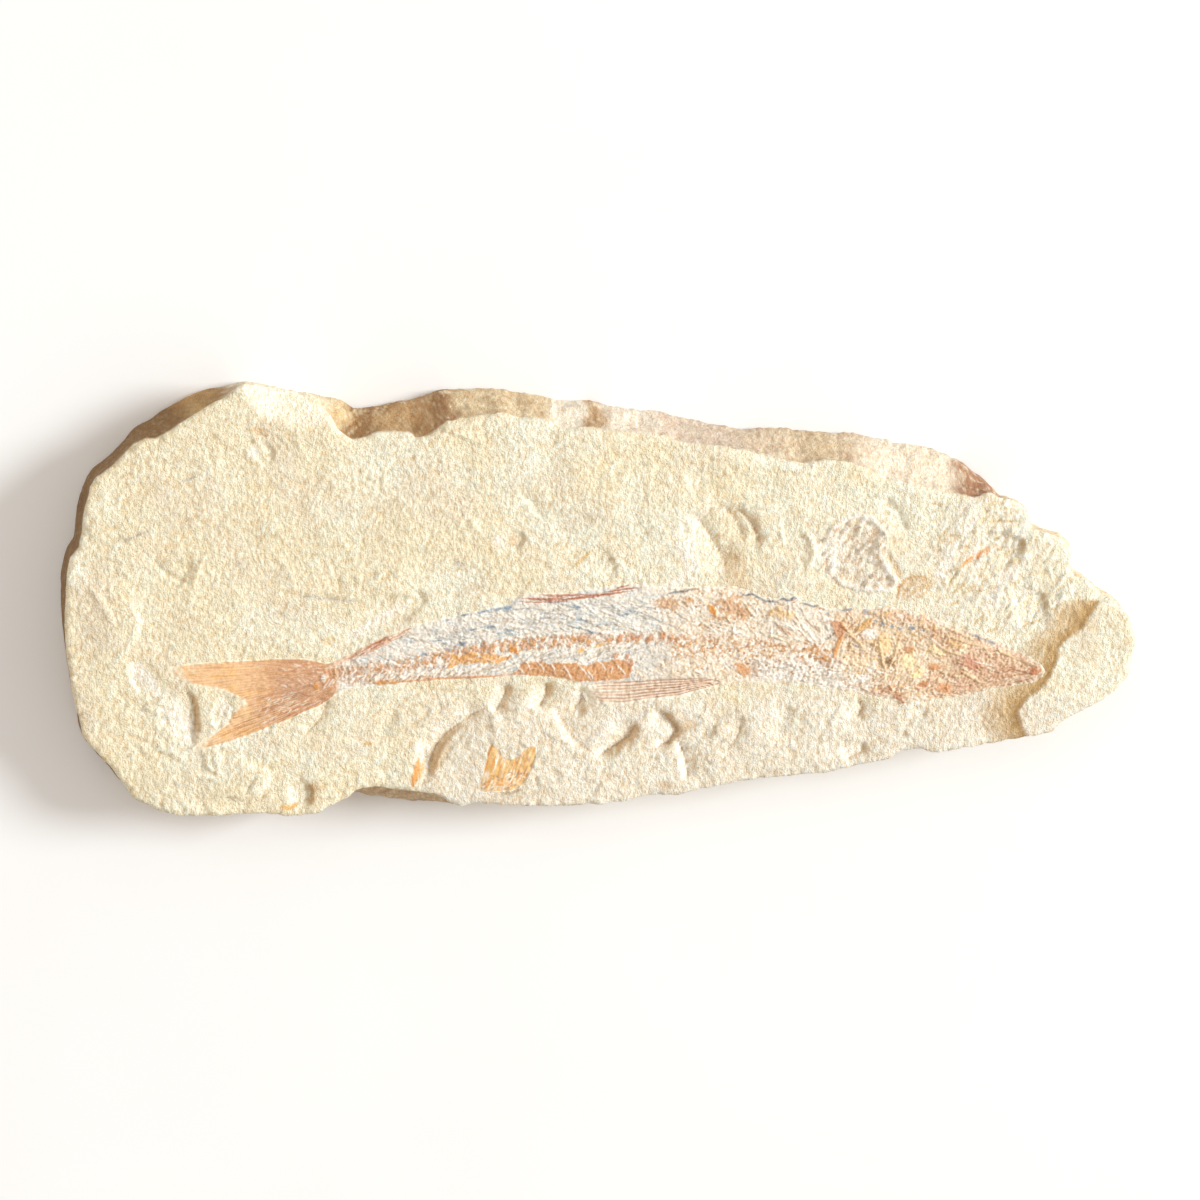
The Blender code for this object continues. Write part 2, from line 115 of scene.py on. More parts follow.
def fractal(x, y, seed, octaves):
    """Gradient noise with layers added to it, each half as large and half as strong as the last."""
    total, size = 0.0, 1.0
    for octave in range(octaves):
        total = total + size * perlin(x * 2**octave, y * 2**octave, seed + 17 * octave)
        size /= 2
    return total


def cells(x, y, seed):
    """Distance to the nearest and second nearest of scattered points, and the nearest's own number."""
    x0, y0 = np.floor(x), np.floor(y)
    near = np.full(x.shape, 9.0)
    second = np.full(x.shape, 9.0)
    number = np.zeros(x.shape)
    for dx in (-1, 0, 1):
        for dy in (-1, 0, 1):
            cx, cy = x0 + dx, y0 + dy
            px = cx + 0.1 + 0.8 * lattice(cx, cy, seed)
            py = cy + 0.1 + 0.8 * lattice(cx, cy, seed + 5)
            away = np.hypot(px - x, py - y)
            closer = away < near
            second = np.where(closer, near, np.minimum(second, away))
            number = np.where(closer, lattice(cx, cy, seed + 9), number)
            near = np.where(closer, away, near)
    return near, second, number


def line_distance(x, y, line, reach=1e9, closed=False):
    """Distance of each point from a polyline, and how far along it the nearest place is."""
    line = np.asarray(line, float)[:, :2]
    ends = np.roll(line, -1, axis=0) if closed else line[1:]
    nearest = np.full(x.shape, 1e9)
    along = np.zeros(x.shape)
    passed = 0.0
    for start, end in zip(line, ends):
        run = end - start
        length = math.hypot(*run)
        if length < 1e-9:
            continue
        low = np.minimum(start, end) - reach
        high = np.maximum(start, end) + reach
        pick = np.flatnonzero((x > low[0]) & (x < high[0]) & (y > low[1]) & (y < high[1]))
        share = np.clip(((x[pick] - start[0]) * run[0] + (y[pick] - start[1]) * run[1]) / length**2, 0, 1)
        away = np.hypot(x[pick] - start[0] - share * run[0], y[pick] - start[1] - share * run[1])
        closer = away < nearest[pick]
        nearest[pick[closer]] = away[closer]
        along[pick[closer]] = passed + share[closer] * length
        passed += length
    return nearest, along


def inside(x, y, loop):
    """Which points lie in a closed loop."""
    found = np.zeros(x.shape, bool)
    for start, end in zip(loop[:, :2], np.roll(loop[:, :2], -1, axis=0)):
        if start[1] == end[1]:
            continue
        spans = (start[1] > y) != (end[1] > y)
        found ^= spans & (x < start[0] + (y - start[1]) / (end[1] - start[1]) * (end[0] - start[0]))
    return found


def signed_distance(x, y, loop):
    """Distance from a closed loop, positive inside."""
    away = line_distance(x, y, loop, closed=True)[0]
    return np.where(inside(x, y, loop), away, -away)


def oval(x, y, cx, cy, half_length, half_width, turn):
    """Distance from an oval's middle, 1 at its rim, and the direction seen from the middle."""
    angle = math.radians(turn)
    u = (x - cx) * math.cos(angle) + (y - cy) * math.sin(angle)
    v = (y - cy) * math.cos(angle) - (x - cx) * math.sin(angle)
    return np.hypot(u / half_length, v / half_width), np.arctan2(y - cy, x - cx)


def oval_at(x, y, square, half_length, half_width, turn):
    """The same round a square of the drawing grid, its half length and half width in millimetres."""
    cx, cy = at([square])[0]
    return oval(x, y, cx, cy, half_length, half_width, turn)


def resample(loop, spacing):
    """The closed line with points at even steps. Extra columns are carried."""
    points = np.vstack([loop, loop[:1]])
    travelled = np.concatenate([[0], np.cumsum(np.hypot(*np.diff(points[:, :2], axis=0).T))])
    stops = np.linspace(0, travelled[-1], round(travelled[-1] / spacing), endpoint=False)
    return np.stack([np.interp(stops, travelled, column) for column in points.T], axis=1)


def blend(colour, new, amount):
    """Lays a paint over the colours, in place, as thickly as the amount says."""
    colour += (new - colour) * np.clip(amount, 0, 1)[:, None]


def course(x, stops, **ends):
    """The value at each x of a line through stops."""
    return np.interp(x, *np.array(stops, float).T, **ends)


# ---- outlines, in millimetres, as the frame has them ---------------------------------------------
# The edge of the stone's face, clockwise from the left: x, y, and how far the underside stands out
# beyond that point (or falls short of it, where the face overhangs).
SLAB_EDGE = np.array((
    (-147.8, -2.8, -0.5), (-147.0, 8.4, 0.0), (-146.2, 11.8, -2.1), (-143.4, 14.6, 0.2),
    (-142.0, 24.6, -0.3), (-140.3, 31.6, -0.8), (-138.6, 34.2, -1.3), (-133.3, 37.8, -0.4),
    (-128.2, 43.4, -0.7), (-124.9, 44.8, 0.6), (-122.1, 44.8, 2.5), (-108.1, 54.0, 1.5),
    (-101.9, 57.1, -1.0), (-99.7, 59.1, -2.5), (-97.2, 59.9, -3.0), (-88.5, 58.5, -2.5),
    (-77.8, 55.4, -2.0), (-74.5, 51.6, 2.0), (-71.5, 47.6, 4.4), (-68.0, 44.8, 6.3),
    (-64.5, 45.4, 4.9), (-60.5, 46.9, 3.6),
    (-54.9, 47.0, 3.0), (-51.5, 46.5, 8.0), (-50.4, 45.1, 7.5), (-46.5, 46.2, 7.0), (-41.4, 50.1, 6.0),
    (-26.3, 52.4, 2.8), (-21.3, 51.2, 3.0), (-14.3, 50.7, 2.4), (-10.1, 48.2, 4.3), (-4.5, 48.5, 4.4),
    (19.3, 46.5, 2.7), (23.5, 44.5, 2.7), (41.7, 42.3, 2.0), (48.7, 40.0, 5.8), (58.8, 38.4, 6.0),
    (65.5, 39.2, 4.5), (71.1, 38.9, 3.5), (78.1, 35.8, 7.0), (81.2, 33.6, 8.0),
    (93.0, 31.4, 7.9), (102.5, 29.6, 6.8), (106.1, 28.8, 4.8),
    (110.6, 30.5, -2.5), (113.1, 28.8, -3.0), (117.3, 28.0, -3.0), (119.8, 26.3, -2.0),
    (121.2, 24.4, -1.0), (121.8, 21.3, -1.5), (123.2, 19.9, -3.0), (128.8, 18.5, -3.0),
    (131.6, 16.8, -2.0), (133.6, 14.6, -1.5), (134.7, 12.0, -0.5), (133.8, 9.0, -0.5),
    (134.7, 6.4, -2.0), (138.4, 5.9, -2.5), (143.5, 1.1, -2.0), (145.8, 0.6, -1.5), (150.9, -5.4, -1.0),
    (152.1, -9.4, -1.5), (152.1, -12.6, -0.5), (151.5, -17.6, -0.5), (150.3, -21.3, -1.0),
    (147.7, -24.9, -1.5), (144.7, -27.4, -0.5), (131.3, -35.0, -0.5), (129.5, -37.4, -1.0),
    (109.2, -41.8, -1.5), (95.5, -43.8, -0.5), (93.0, -42.4, -0.5), (89.3, -42.6, -1.0),
    (81.8, -46.0, -1.5), (65.5, -49.4, -0.5), (48.7, -50.8, -0.5), (32.5, -53.6, -1.0),
    (23.5, -56.1, -1.5), (17.9, -55.5, -0.5), (11.2, -57.2, -0.5), (1.1, -58.3, -1.0),
    (-15.7, -59.0, -1.5), (-32.5, -58.0, -0.5), (-37.2, -58.9, -0.5), (-40.9, -57.8, 3.5),
    (-44.8, -55.2, 5.5), (-61.6, -53.3, 5.5), (-65.5, -53.6, 6.0), (-67.5, -54.4, 5.5),
    (-68.9, -56.6, -1.5), (-74.5, -58.6, -0.5), (-76.7, -60.6, -0.5), (-85.7, -61.6, -1.0),
    (-93.0, -60.8, -1.5), (-112.6, -61.6, -0.5), (-117.9, -61.1, -0.5), (-122.1, -60.0, -1.0),
    (-129.4, -56.4, 0.6), (-136.1, -46.8, 1.6), (-141.4, -41.2, 1.2), (-143.1, -38.7, 0.6),
    (-146.2, -26.3, -1.5), (-148.1, -7.3, 0.0),
))

# ---- the fish, on the drawing grid ----------------------------------------------------------------
FISH_EDGE = at((
    (168, 671), (180, 667), (200, 665), (225, 663), (250, 662), (275, 660.5), (300, 660), (315, 662),
    (325, 665), (335, 664), (350, 657), (362, 650), (375, 643), (390, 637), (405, 631), (417, 627),
    (430, 623), (448, 619), (463, 615), (480, 612), (495, 608), (510, 605), (512, 599), (530, 594),
    (560, 595), (590, 590), (620, 586), (645, 584), (668, 589), (700, 588), (735, 588), (750, 592),
    (765, 599), (780, 600), (797, 597), (803, 603), (818, 605), (830, 611), (848, 609), (862, 611),
    (880, 608), (890, 607), (905, 612), (920, 615), (935, 620), (950, 625), (965, 631), (980, 636),
    (1000, 643), (1010, 647), (1020, 652), (1035, 660), (1044, 666), (1048, 671), (1045, 676),
    (1040, 681), (1020, 685), (1000, 688), (985, 692), (970, 696), (950, 698), (935, 701), (920, 704),
    (908, 706), (895, 701), (885, 697), (870, 694), (857, 693), (840, 689), (815, 685), (790, 682),
    (765, 683), (740, 682), (728, 684), (722, 687), (700, 692), (680, 698), (645, 702), (625, 705),
    (600, 705), (590, 700), (585, 690), (578, 683), (565, 679), (550, 676), (530, 676), (515, 676),
    (480, 677), (460, 678), (440, 679), (420, 681), (400, 684), (380, 685), (365, 687), (345, 690),
    (335, 695), (328, 702), (318, 708), (305, 712), (290, 720), (270, 728), (250, 736), (230, 743),
    (215, 747), (205, 750), (196, 751), (193, 748), (205, 744), (212, 739), (222, 731), (228, 726),
    (232, 717), (238, 710), (246, 704), (240, 698), (230, 693), (218, 689), (205, 686), (190, 683),
    (180, 679), (168, 674),
))
SCRAP_EDGE = at((
    (489, 750), (493, 747), (500, 752), (503, 760), (512, 763), (522, 759), (527, 752), (532, 747),
    (537, 750), (537, 760), (533, 772), (527, 784), (520, 791), (512, 794), (490, 795), (483, 793),
    (480, 790), (484, 778), (487, 766),
))


# ---- the stone's face ---------------------------------------------------------------------------
# Hollows: middle on the drawing grid, half length and half width in squares, turn in degrees, depth
# in millimetres, and the direction of the steep side.
HOLLOWS = (
    (150, 680, 30, 15, -50, 1.5, 215),
    (181, 719, 36, 17, -67, 0.8, 200),
    (226, 711, 19, 12, 70, 1.3, 190),
    (507, 541, 17, 14, 20, 1.0, 0),
    (742, 566, 44, 22, 100, 0.6, 60),
    (376, 624, 56, 17, 28, 1.3, 60),
    (856, 558, 44, 33, 100, 0.9, 190),
    (985, 560, 40, 24, 30, 1.4, 20),
    (1030, 606, 30, 18, 130, 1.2, 20),
    (175, 574, 24, 13, 30, 0.7, 300),
    (299, 797, 20, 14, 100, 1.8, 0),
    (262, 447, 12, 18, 30, 0.9, 320),
    (560, 708, 42, 14, 10, 0.9, 330),
    (600, 560, 22, 12, 120, 0.7, 0),
    (505, 590, 30, 14, 20, 0.9, 300),
)
# Lumps, the same with a height for the depth.
LUMPS = (
    (219, 712, 15, 12, 90, 0.5, 0),
    (110, 628, 30, 70, 0, 0.8, 0),
    (200, 782, 70, 25, 0, 0.9, 0),
    (600, 497, 105, 40, 175, 0.9, 0),
    (380, 520, 95, 32, 170, 0.7, 0),
    (575, 500, 60, 28, 20, 0.5, 0),
    (780, 725, 60, 26, 10, 0.8, 180),
    (960, 725, 50, 16, 10, 0.6, 180),
)
# Folds in the face: the squares they run through, from the top down, how deep they are, and how far
# their left and right sides run, all in millimetres. A negative depth is a crest.
FOLDS = (
    (((692, 510), (700, 520), (709, 532), (716, 544), (724, 557), (729, 574)), 2.3, 7.5, 4.0),
    (((722, 503), (731, 512), (739, 524), (746, 542)), 1.1, 6.0, 1.2),
    (((732, 505), (744, 513), (753, 524), (760, 538), (762, 548)), 1.1, 3.5, 1.2),
    (((879, 496), (890, 501), (900, 513), (905, 524), (907, 536)), 1.0, 6.0, 1.0),
    (((803, 531), (812, 539), (813, 552), (810, 566), (808, 577)), -0.85, 0.9, 1.2),
    (((490, 709), (474, 717), (460, 727), (446, 738), (436, 751), (431, 768), (428, 788)), 2.6, 5.5, 2.2),
    (((468, 727), (456, 738), (446, 750), (439, 763), (434, 787)), -0.59, 1.6, 0.9),
    (((493, 715), (496, 734), (500, 747)), -0.85, 0.9, 2.2),
    (((554, 704), (562, 719), (568, 732), (578, 744), (592, 754)), 1.7, 2.2, 7.0),
    (((640, 725), (630, 741), (616, 751), (597, 764)), 2.6, 5.0, 1.0),
    (((654, 709), (668, 718), (680, 733), (671, 746), (653, 754)), 2.1, 6.5, 0.7),
    (((678, 738), (686, 755), (690, 771), (692, 788)), 1.7, 2.2, 2.2),
    (((186, 688), (193, 700), (196, 714), (196, 730), (193, 748)), 1.7, 8.0, 0.7),
    (((862, 699), (867, 711), (860, 726)), 1.5, 6.0, 1.3),
    (((869, 744), (867, 756), (848, 766)), 1.5, 7.0, 1.3),
    (((549, 682), (547, 698), (539, 714)), 2.1, 4.5, 2.0),
    (((509, 684), (505, 700), (495, 718)), 1.8, 4.0, 2.0),
    (((588, 688), (584, 702), (574, 716)), 1.5, 3.5, 1.8),
    (((155, 558), (170, 576), (194, 585)), 0.73, 0.9, 0.9),
    (((207, 555), (200, 572), (194, 587)), -0.85, 0.9, 0.8),
    (((94, 586), (105, 602), (119, 627)), -0.59, 1.2, 1.0),
    (((516, 490), (531, 501), (546, 520)), 0.73, 1.2, 1.4),
    (((330, 700), (322, 720), (306, 738)), 1.1, 4.0, 2.4),
    (((398, 700), (392, 722), (380, 744)), 0.95, 4.5, 2.6),
    (((745, 716), (742, 736), (730, 756)), 1.1, 5.0, 2.0),
    (((792, 705), (790, 722), (780, 742)), 0.95, 4.5, 1.8),
    (((930, 708), (926, 722), (914, 738)), 0.95, 4.5, 2.0),
)
# Long forms: the squares they run through, half width and height in millimetres. A crack's height
# is negative.
RIDGES = (
    (((448, 428), (462, 434), (480, 443)), 0.9, 0.4),
    (((766, 492), (801, 469)), 0.4, -0.3),
    (((135, 750), (150, 766)), 0.8, -0.3),
    (((280, 560), (292, 573), (297, 592)), 0.9, 0.35),
    (((455, 495), (466, 520), (473, 548), (482, 566)), 0.4, -0.3),
    (((297, 596), (330, 598), (362, 602)), 0.5, -0.4),
    (((124, 542), (150, 531)), 0.4, -0.4),
    (((196, 438), (216, 432), (232, 440)), 0.9, 0.3),
    (((255, 433), (262, 447), (268, 460)), 0.9, 0.45),
    (((298, 440), (306, 455), (312, 470)), 1.0, 0.3),
    (((570, 560), (590, 575)), 0.8, 0.3),
)
# The rim of the higher bed at the right: squares down, then across.
RIM = (
    (600, 1104), (605, 1098), (618, 1090), (628, 1085), (635, 1075), (643, 1065), (650, 1060),
    (660, 1061), (672, 1056), (682, 1050), (692, 1040), (700, 1030), (712, 1022), (725, 1025),
    (745, 1035),
)
RIM_NONE = 1400.0  # above the rim's first square there is none: this is past the plate's edge
RIM_RISE = 2.0  # how far the stone rises towards the rim
RIM_RUN = 11.0  # over what distance
RIM_STEP = 0.6  # and the step at the rim itself
FLAKE_LINE = ((236, 380), (246, 402), (262, 420), (290, 432), (322, 435), (348, 426), (362, 400))
FLAKE_SLOPE = 0.5
FLAKE_DEPTH = 9.0
# Rough ovals: middle on the drawing grid, half length and half width in millimetres, and turn.
CORNER_OVAL = ((985, 575), 24.0, 19.0, 20)
LUMP_OVAL = ((856, 556), 12.5, 9.0, 100)
FLAKE_STAIN = ((335, 406), 7.0, 2.4, -20)
CHISEL_DEPTH = 0.46
BONE_POCKET = 0.9  # how far the stone sinks beneath a bone


def scoop(x, y, cx, cy, length, width, turn, depth, steep):
    """A hollow with an uneven rim, whose floor falls gently to a steep wall on one side."""
    away, bearing = oval_at(x, y, (cx, cy), length * SQUARE, width * SQUARE, turn)
    away = away + 0.22 * fractal(x / 3.6, y / 3.6, 71, 3)
    toward = np.cos(bearing - math.radians(steep))
    fall = 0.5 + 0.5 * np.clip(toward * away, -1, 1)
    softness = 0.80 - 0.66 * np.clip(toward, 0, 1) ** 2
    return depth * smooth((1.1 - away) / softness) * (0.3 + 0.7 * fall)


def fold(x, y, line, depth, left_run, right_run):
    """A valley along a line drawn from the top down: an even slope down to it on its left, and on its
    right a rise that starts steep and flattens out. A crest is the same turned over, its sides swapped."""
    x = x + 0.2 * perlin(x / 2.0, y / 2.0, 93)
    y = y + 0.2 * perlin(x / 2.0, y / 2.0, 94)
    points = at(line)
    runs = np.linalg.norm(np.diff(points, axis=0), axis=1)
    before = np.concatenate([[0], np.cumsum(runs)])
    nearest = np.full(len(x), 1e9)
    right = np.zeros(len(x), bool)
    along = np.zeros(len(x))
    for start, end, run, passed in zip(points, points[1:], runs, before):
        ahead = (end - start) / run
        part = np.clip((x - start[0]) * ahead[0] + (y - start[1]) * ahead[1], 0, run)
        away = np.hypot(x - start[0] - part * ahead[0], y - start[1] - part * ahead[1])
        closer = away < nearest
        side = ahead[0] * (y - start[1]) - ahead[1] * (x - start[0])
        right = np.where(closer, side > 0, right)
        along = np.where(closer, (passed + part) / before[-1], along)
        nearest = np.where(closer, away, nearest)
    ends = smooth(5 * along) * smooth(5 * (1 - along)) + 0.1
    steep = np.exp(-nearest / right_run)
    even = np.clip(1 - nearest / left_run, 0, 1)
    if depth < 0:
        steep, even = np.exp(-nearest / left_run), np.clip(1 - nearest / right_run, 0, 1)
        right = ~right
    return ends * np.where(right, steep, even)


def rim_offset(x, y):
    """How far right of the higher bed's rim each point is."""
    down = GRID_MIDDLE[1] - y / SQUARE
    rim = (course(down, RIM, left=RIM_NONE) - GRID_MIDDLE[0]) * SQUARE
    return x - rim + 0.5 * fractal(x / 2.4, y / 2.4, 31, 2)


def flake_depth(x, y):
    """How much stone went with the large flake off the upper edge."""
    line = at(FLAKE_LINE)
    scar = np.vstack([line, line[-1:] + (0, 30), line[:1] + (0, 30)])
    within = np.clip(signed_distance(x, y, scar), 0, None)
    return np.clip(FLAKE_SLOPE * within**2 / (within + 1.5), 0, FLAKE_DEPTH)


def chiselled(x, y):
    """1 in the rough corner above the snout and on the oval lump, 0 on the even face."""
    corner = oval_at(x, y, *CORNER_OVAL)[0]
    lump = oval_at(x, y, *LUMP_OVAL)[0]
    return np.maximum(smooth(1.25 - corner), smooth((1.15 - lump) * 2.5))


def stone_grain(x, y):
    """The stone's own grain, -1 to 1: pebbly bumps, longer one way and leaning to the right."""
    bend_u = 0.6 * perlin(x / 2.6, y / 2.6, 41)
    bend_v = 0.6 * perlin(x / 2.6, y / 2.6, 42)
    u = x * 0.34 + y * 0.94 + bend_u
    v = x * 0.94 - y * 0.34 + bend_v
    worms = perlin(u / 1.9, v / 1.15, 51)
    pebbles = perlin(x / 1.15, y / 1.15, 52)
    swells = fractal(x / 3.2, y / 3.2, 53, 2)
    strength = 1.0 + 0.9 * perlin(x / 13, y / 13, 54)
    return (worms + pebbles) * strength + 0.4 * swells


def broken_beds(x, y):
    """Thin beds that end in crisp, wandering steps, more of them in some places than in others."""
    level = 2.6 * fractal(x / 16, y / 13, 35, 3) + 0.12 * perlin(x / 1.8, y / 1.8, 36)
    whole = np.floor(level)
    step = whole + smooth((level - whole) * 7)
    many = smooth(0.5 + 1.6 * perlin(x / 30, y / 24, 37))
    return (step - level) * (0.35 + 0.65 * many)


def stone_height(x, y, grain, beds=1.0):
    """Height of the stone's face above the underside, in millimetres, with its broken beds so strong."""
    height = FACE_LEVEL + 0.8 * fractal(x / 17, y / 17, 3, 2) + 0.2 * perlin(x / 6, y / 6, 8)
    for hollow in HOLLOWS:
        height -= scoop(x, y, *hollow)
    for lump in LUMPS:
        height += scoop(x, y, *lump)
    for line, half_width, rise in RIDGES:
        away = line_distance(x, y, at(line), 6 * half_width)[0] + 0.25 * perlin(x / 1.5, y / 1.5, 91)
        height += rise * smooth(1.3 - away / half_width)
    settled = np.zeros(len(x))
    for line, depth, left_run, right_run in FOLDS:
        share = fold(x, y, line, depth, left_run, right_run)
        height -= depth * share
        settled = np.maximum(settled, np.minimum(1, abs(depth)) * share)
    rim = rim_offset(x, y)
    height += RIM_RISE * np.clip(1 + rim / RIM_RUN, 0, 1) ** 1.7 + RIM_STEP * smooth(rim / 0.5 + 0.5)
    flake = flake_depth(x, y)
    height -= flake
    flaked = smooth(flake)
    height += (BED_STEP + 0.4 * smooth((-26 - y) / 7)) * broken_beds(x, y) * (1 - flaked) * beds
    chips = cells(x / 4.2 + 0.4 * perlin(x / 3, y / 3, 44), y / 4.2, 61)[0]
    height = height + GRAIN_HEIGHT * grain * (1 - 0.85 * flaked) * (1 - 0.6 * settled)
    return height + chiselled(x, y) * CHISEL_DEPTH * (chips - 0.45)


# ---- meshes -------------------------------------------------------------------------------------
def clean_cells(cells_in):
    """Cells joined by whole sides only, in one patch with no hole."""
    kept = cells_in.copy()
    while True:
        a, b, c, d = kept[:-1, :-1], kept[:-1, 1:], kept[1:, :-1], kept[1:, 1:]
        falling = a & d & ~b & ~c
        rising = b & c & ~a & ~d
        if not (falling.any() or rising.any()):
            break
        kept[1:, 1:][falling] = False
        kept[1:, :-1][rising] = False
    return fill_holes(largest(kept))


def flood(open_cells, start):
    """The cells that can be reached from the start through open ones."""
    reached = np.zeros_like(open_cells)
    reached[start] = True
    edge = [start]
    rows, columns = open_cells.shape
    while edge:
        row, column = edge.pop()
        for r, c in ((row + 1, column), (row - 1, column), (row, column + 1), (row, column - 1)):
            if 0 <= r < rows and 0 <= c < columns and open_cells[r, c] and not reached[r, c]:
                reached[r, c] = True
                edge.append((r, c))
    return reached


def largest(kept):
    """The largest patch of cells that touch by their sides."""
    left = kept.copy()
    best = np.zeros_like(kept)
    while left.sum() > best.sum():
        patch = flood(left, tuple(np.argwhere(left)[0]))
        left &= ~patch
        if patch.sum() > best.sum():
            best = patch
    return best


def fill_holes(kept):
    """The patch with its holes filled."""
    padded = np.pad(~kept, 1, constant_values=True)
    return ~flood(padded, (0, 0))[1:-1, 1:-1]


def border(kept):
    """The vertices round a patch of cells, counterclockwise, as (row, column)."""
    padded = np.pad(kept, 1)
    after = {}
    for (row, column) in np.argwhere(kept):
        r, c = row + 1, column + 1
        if not padded[r - 1, c]:
            after[row, column] = (row, column + 1)
        if not padded[r, c + 1]:
            after[row, column + 1] = (row + 1, column + 1)
        if not padded[r + 1, c]:
            after[row + 1, column + 1] = (row + 1, column)
        if not padded[r, c - 1]:
            after[row + 1, column] = (row, column)
    start = min(after)
    loop = [start]
    while after[loop[-1]] != start:
        loop.append(after[loop[-1]])
    return loop


def patch(loop, step, reach=0.0):
    """A grid of points over a closed loop: positions, faces and the border, counterclockwise."""
    low = loop[:, :2].min(axis=0) - reach - 2 * step
    high = loop[:, :2].max(axis=0) + reach + 2 * step
    xs = np.arange(low[0], high[0], step)
    ys = np.arange(low[1], high[1], step)
    gx, gy = np.meshgrid(xs, ys)
    within = signed_distance(gx.ravel(), gy.ravel(), loop).reshape(gx.shape)
    wanted = within > -reach * (1 + 0.25 * perlin(gx / 2.0, gy / 2.0, 77))
    kept = clean_cells(wanted[:-1, :-1] & wanted[1:, :-1] & wanted[:-1, 1:] & wanted[1:, 1:])
    used = np.zeros(gx.shape, bool)
    for dr in (0, 1):
        for dc in (0, 1):
            used[dr : dr + kept.shape[0], dc : dc + kept.shape[1]] |= kept
    number = np.full(gx.shape, -1)
    number[used] = np.arange(used.sum())
    rows, columns = np.nonzero(kept)
    corners = ((0, 0), (0, 1), (1, 1), (1, 0))
    faces = np.stack([number[rows + down, columns + across] for down, across in corners], axis=1)
    rim = np.array([number[place] for place in border(kept)])
    return gx[used], gy[used], faces, rim


def slope_east(height, quads, count):
    """How steeply the surface rises to the right at each point, evened over a few millimetres."""
    a, b, c, d = (height[quads[:, corner]] for corner in range(4))
    rise = (b + c - a - d) / 2 / STONE_STEP
    shared = np.bincount(quads.ravel(), minlength=count)
    for _ in range(3):
        slope = np.bincount(quads.ravel(), np.repeat(rise, 4), count) / shared
        rise = slope[quads].mean(axis=1)
    return slope


def build(name, points, quads, foot, colours, extras=None):
    """A mesh object from millimetre points, with its colours and other values stored on it.

    Its underside is a fan from a last, middle point to the foot's ring."""
    mesh = bpy.data.meshes.new(name)
    points = np.vstack([points, points[foot].mean(axis=0)])
    colours = np.vstack([colours, colours[foot].mean(axis=0)])
    hub = len(points) - 1
    fan = [(hub, after, before) for before, after in zip(foot.tolist(), np.roll(foot, -1).tolist())]
    faces = quads.tolist() + fan
    placed = (points - (*PLATE_MIDDLE, 0.0)) * MM
    mesh.from_pydata(placed.tolist(), [], faces)
    mesh.update()
    layer = mesh.color_attributes.new("tint", "FLOAT_COLOR", "POINT")
    layer.data.foreach_set("color", np.column_stack([colours, np.ones(len(colours))]).ravel())
    for key, values in (extras or {}).items():
        mesh.attributes.new(key, "FLOAT", "POINT").data.foreach_set("value", np.append(values, 0.0))
    smooth_faces = np.ones(len(faces), bool)
    smooth_faces[len(quads) :] = False
    mesh.polygons.foreach_set("use_smooth", smooth_faces)
    piece = bpy.data.objects.new(name, mesh)
    bpy.context.scene.collection.objects.link(piece)
    return piece


def bands(count, rim, start):
    """Quads between a rim and so many rings of vertices below it, counterclockwise, and the last ring."""
    rings = [rim] + [start + np.arange(len(rim)) + ring * len(rim) for ring in range(count)]
    quads = []
    for upper, lower in zip(rings, rings[1:]):
        quads.append(np.stack([upper, lower, np.roll(lower, -1), np.roll(upper, -1)], axis=1))
    return np.concatenate(quads), rings[-1]


def snap_to(loop_x, loop_y, outline):
    """Where each border point belongs on the outline, in order and without bunching."""
    dense = resample(outline, SNAP_STEP)
    length = len(dense)
    across, down = dense[:, 0], dense[:, 1]
    nearest = np.array([np.argmin((across - x) ** 2 + (down - y) ** 2) for x, y in zip(loop_x, loop_y)])
    steps = np.diff(nearest, append=nearest[0])
    steps = (steps + length // 2) % length - length // 2
    passed = nearest[0] + np.concatenate([[0], np.cumsum(steps)[:-1]])
    trend = np.arange(len(passed)) * steps.sum() / len(passed)
    place = (evened(passed - trend, 7) + trend) % length
    low = np.floor(place).astype(int) % length
    part = place - np.floor(place)
    following = (low + 1) % length
    return dense[low] + (dense[following] - dense[low]) * part[:, None]


def outward(loop, window):
    """The direction away from a counterclockwise loop, over so many points each way."""
    along = np.roll(loop, -window, axis=0) - np.roll(loop, window, axis=0)
    away = np.stack([along[:, 1], -along[:, 0]], axis=1)
    return away / np.linalg.norm(away, axis=1)[:, None]


def evened(values, window):
    """The values round a loop, averaged over so many points each way."""
    padded = np.concatenate([values[-window:], values, values[:window]])
    return np.convolve(padded, np.ones(2 * window + 1) / (2 * window + 1), mode="valid")


# ---- the stone ----------------------------------------------------------------------------------
# Painted shade for the pits of the stone's grain, and painted highlight for its tops.
GRAIN_SHADE = paint(228, 208, 170)
GRAIN_HIGHLIGHT = paint(251, 246, 226)
CREAM = paint(246, 250, 238)
CREAM_LIGHT = paint(248, 241, 218)
FLAKE_WHITE = paint(255, 254, 240)
CREAM_WARM = paint(244, 235, 203)
CREAM_GREY = paint(237, 230, 214)
CHALK = paint(254, 253, 247)
# Tan for painted shade on slopes that face away from the light.
SLOPE_SHADE_TAN = paint(218, 186, 142)
# Painted shadow along the folds, partly a real stain.
FOLD_SHADOW_AND_STAIN = paint(198, 160, 116)
WALL_DARK = paint(128, 98, 74)

EDGE_STEP = 0.5  # spacing of the points that small breaks move
SNAP_STEP = 0.12  # and of those that the mesh's border snaps to
WALL_RINGS = 12
RING_CROWDING = 0.92  # below 1, the rings lie closer towards the foot
FOOT_TUCK = 0.5  # how far the wall turns in just above the foot
WALLS_MEET = -12  # below this the lower wall's colours start
SPREAD = 0.0009  # how much wider the plate is for each millimetre further down


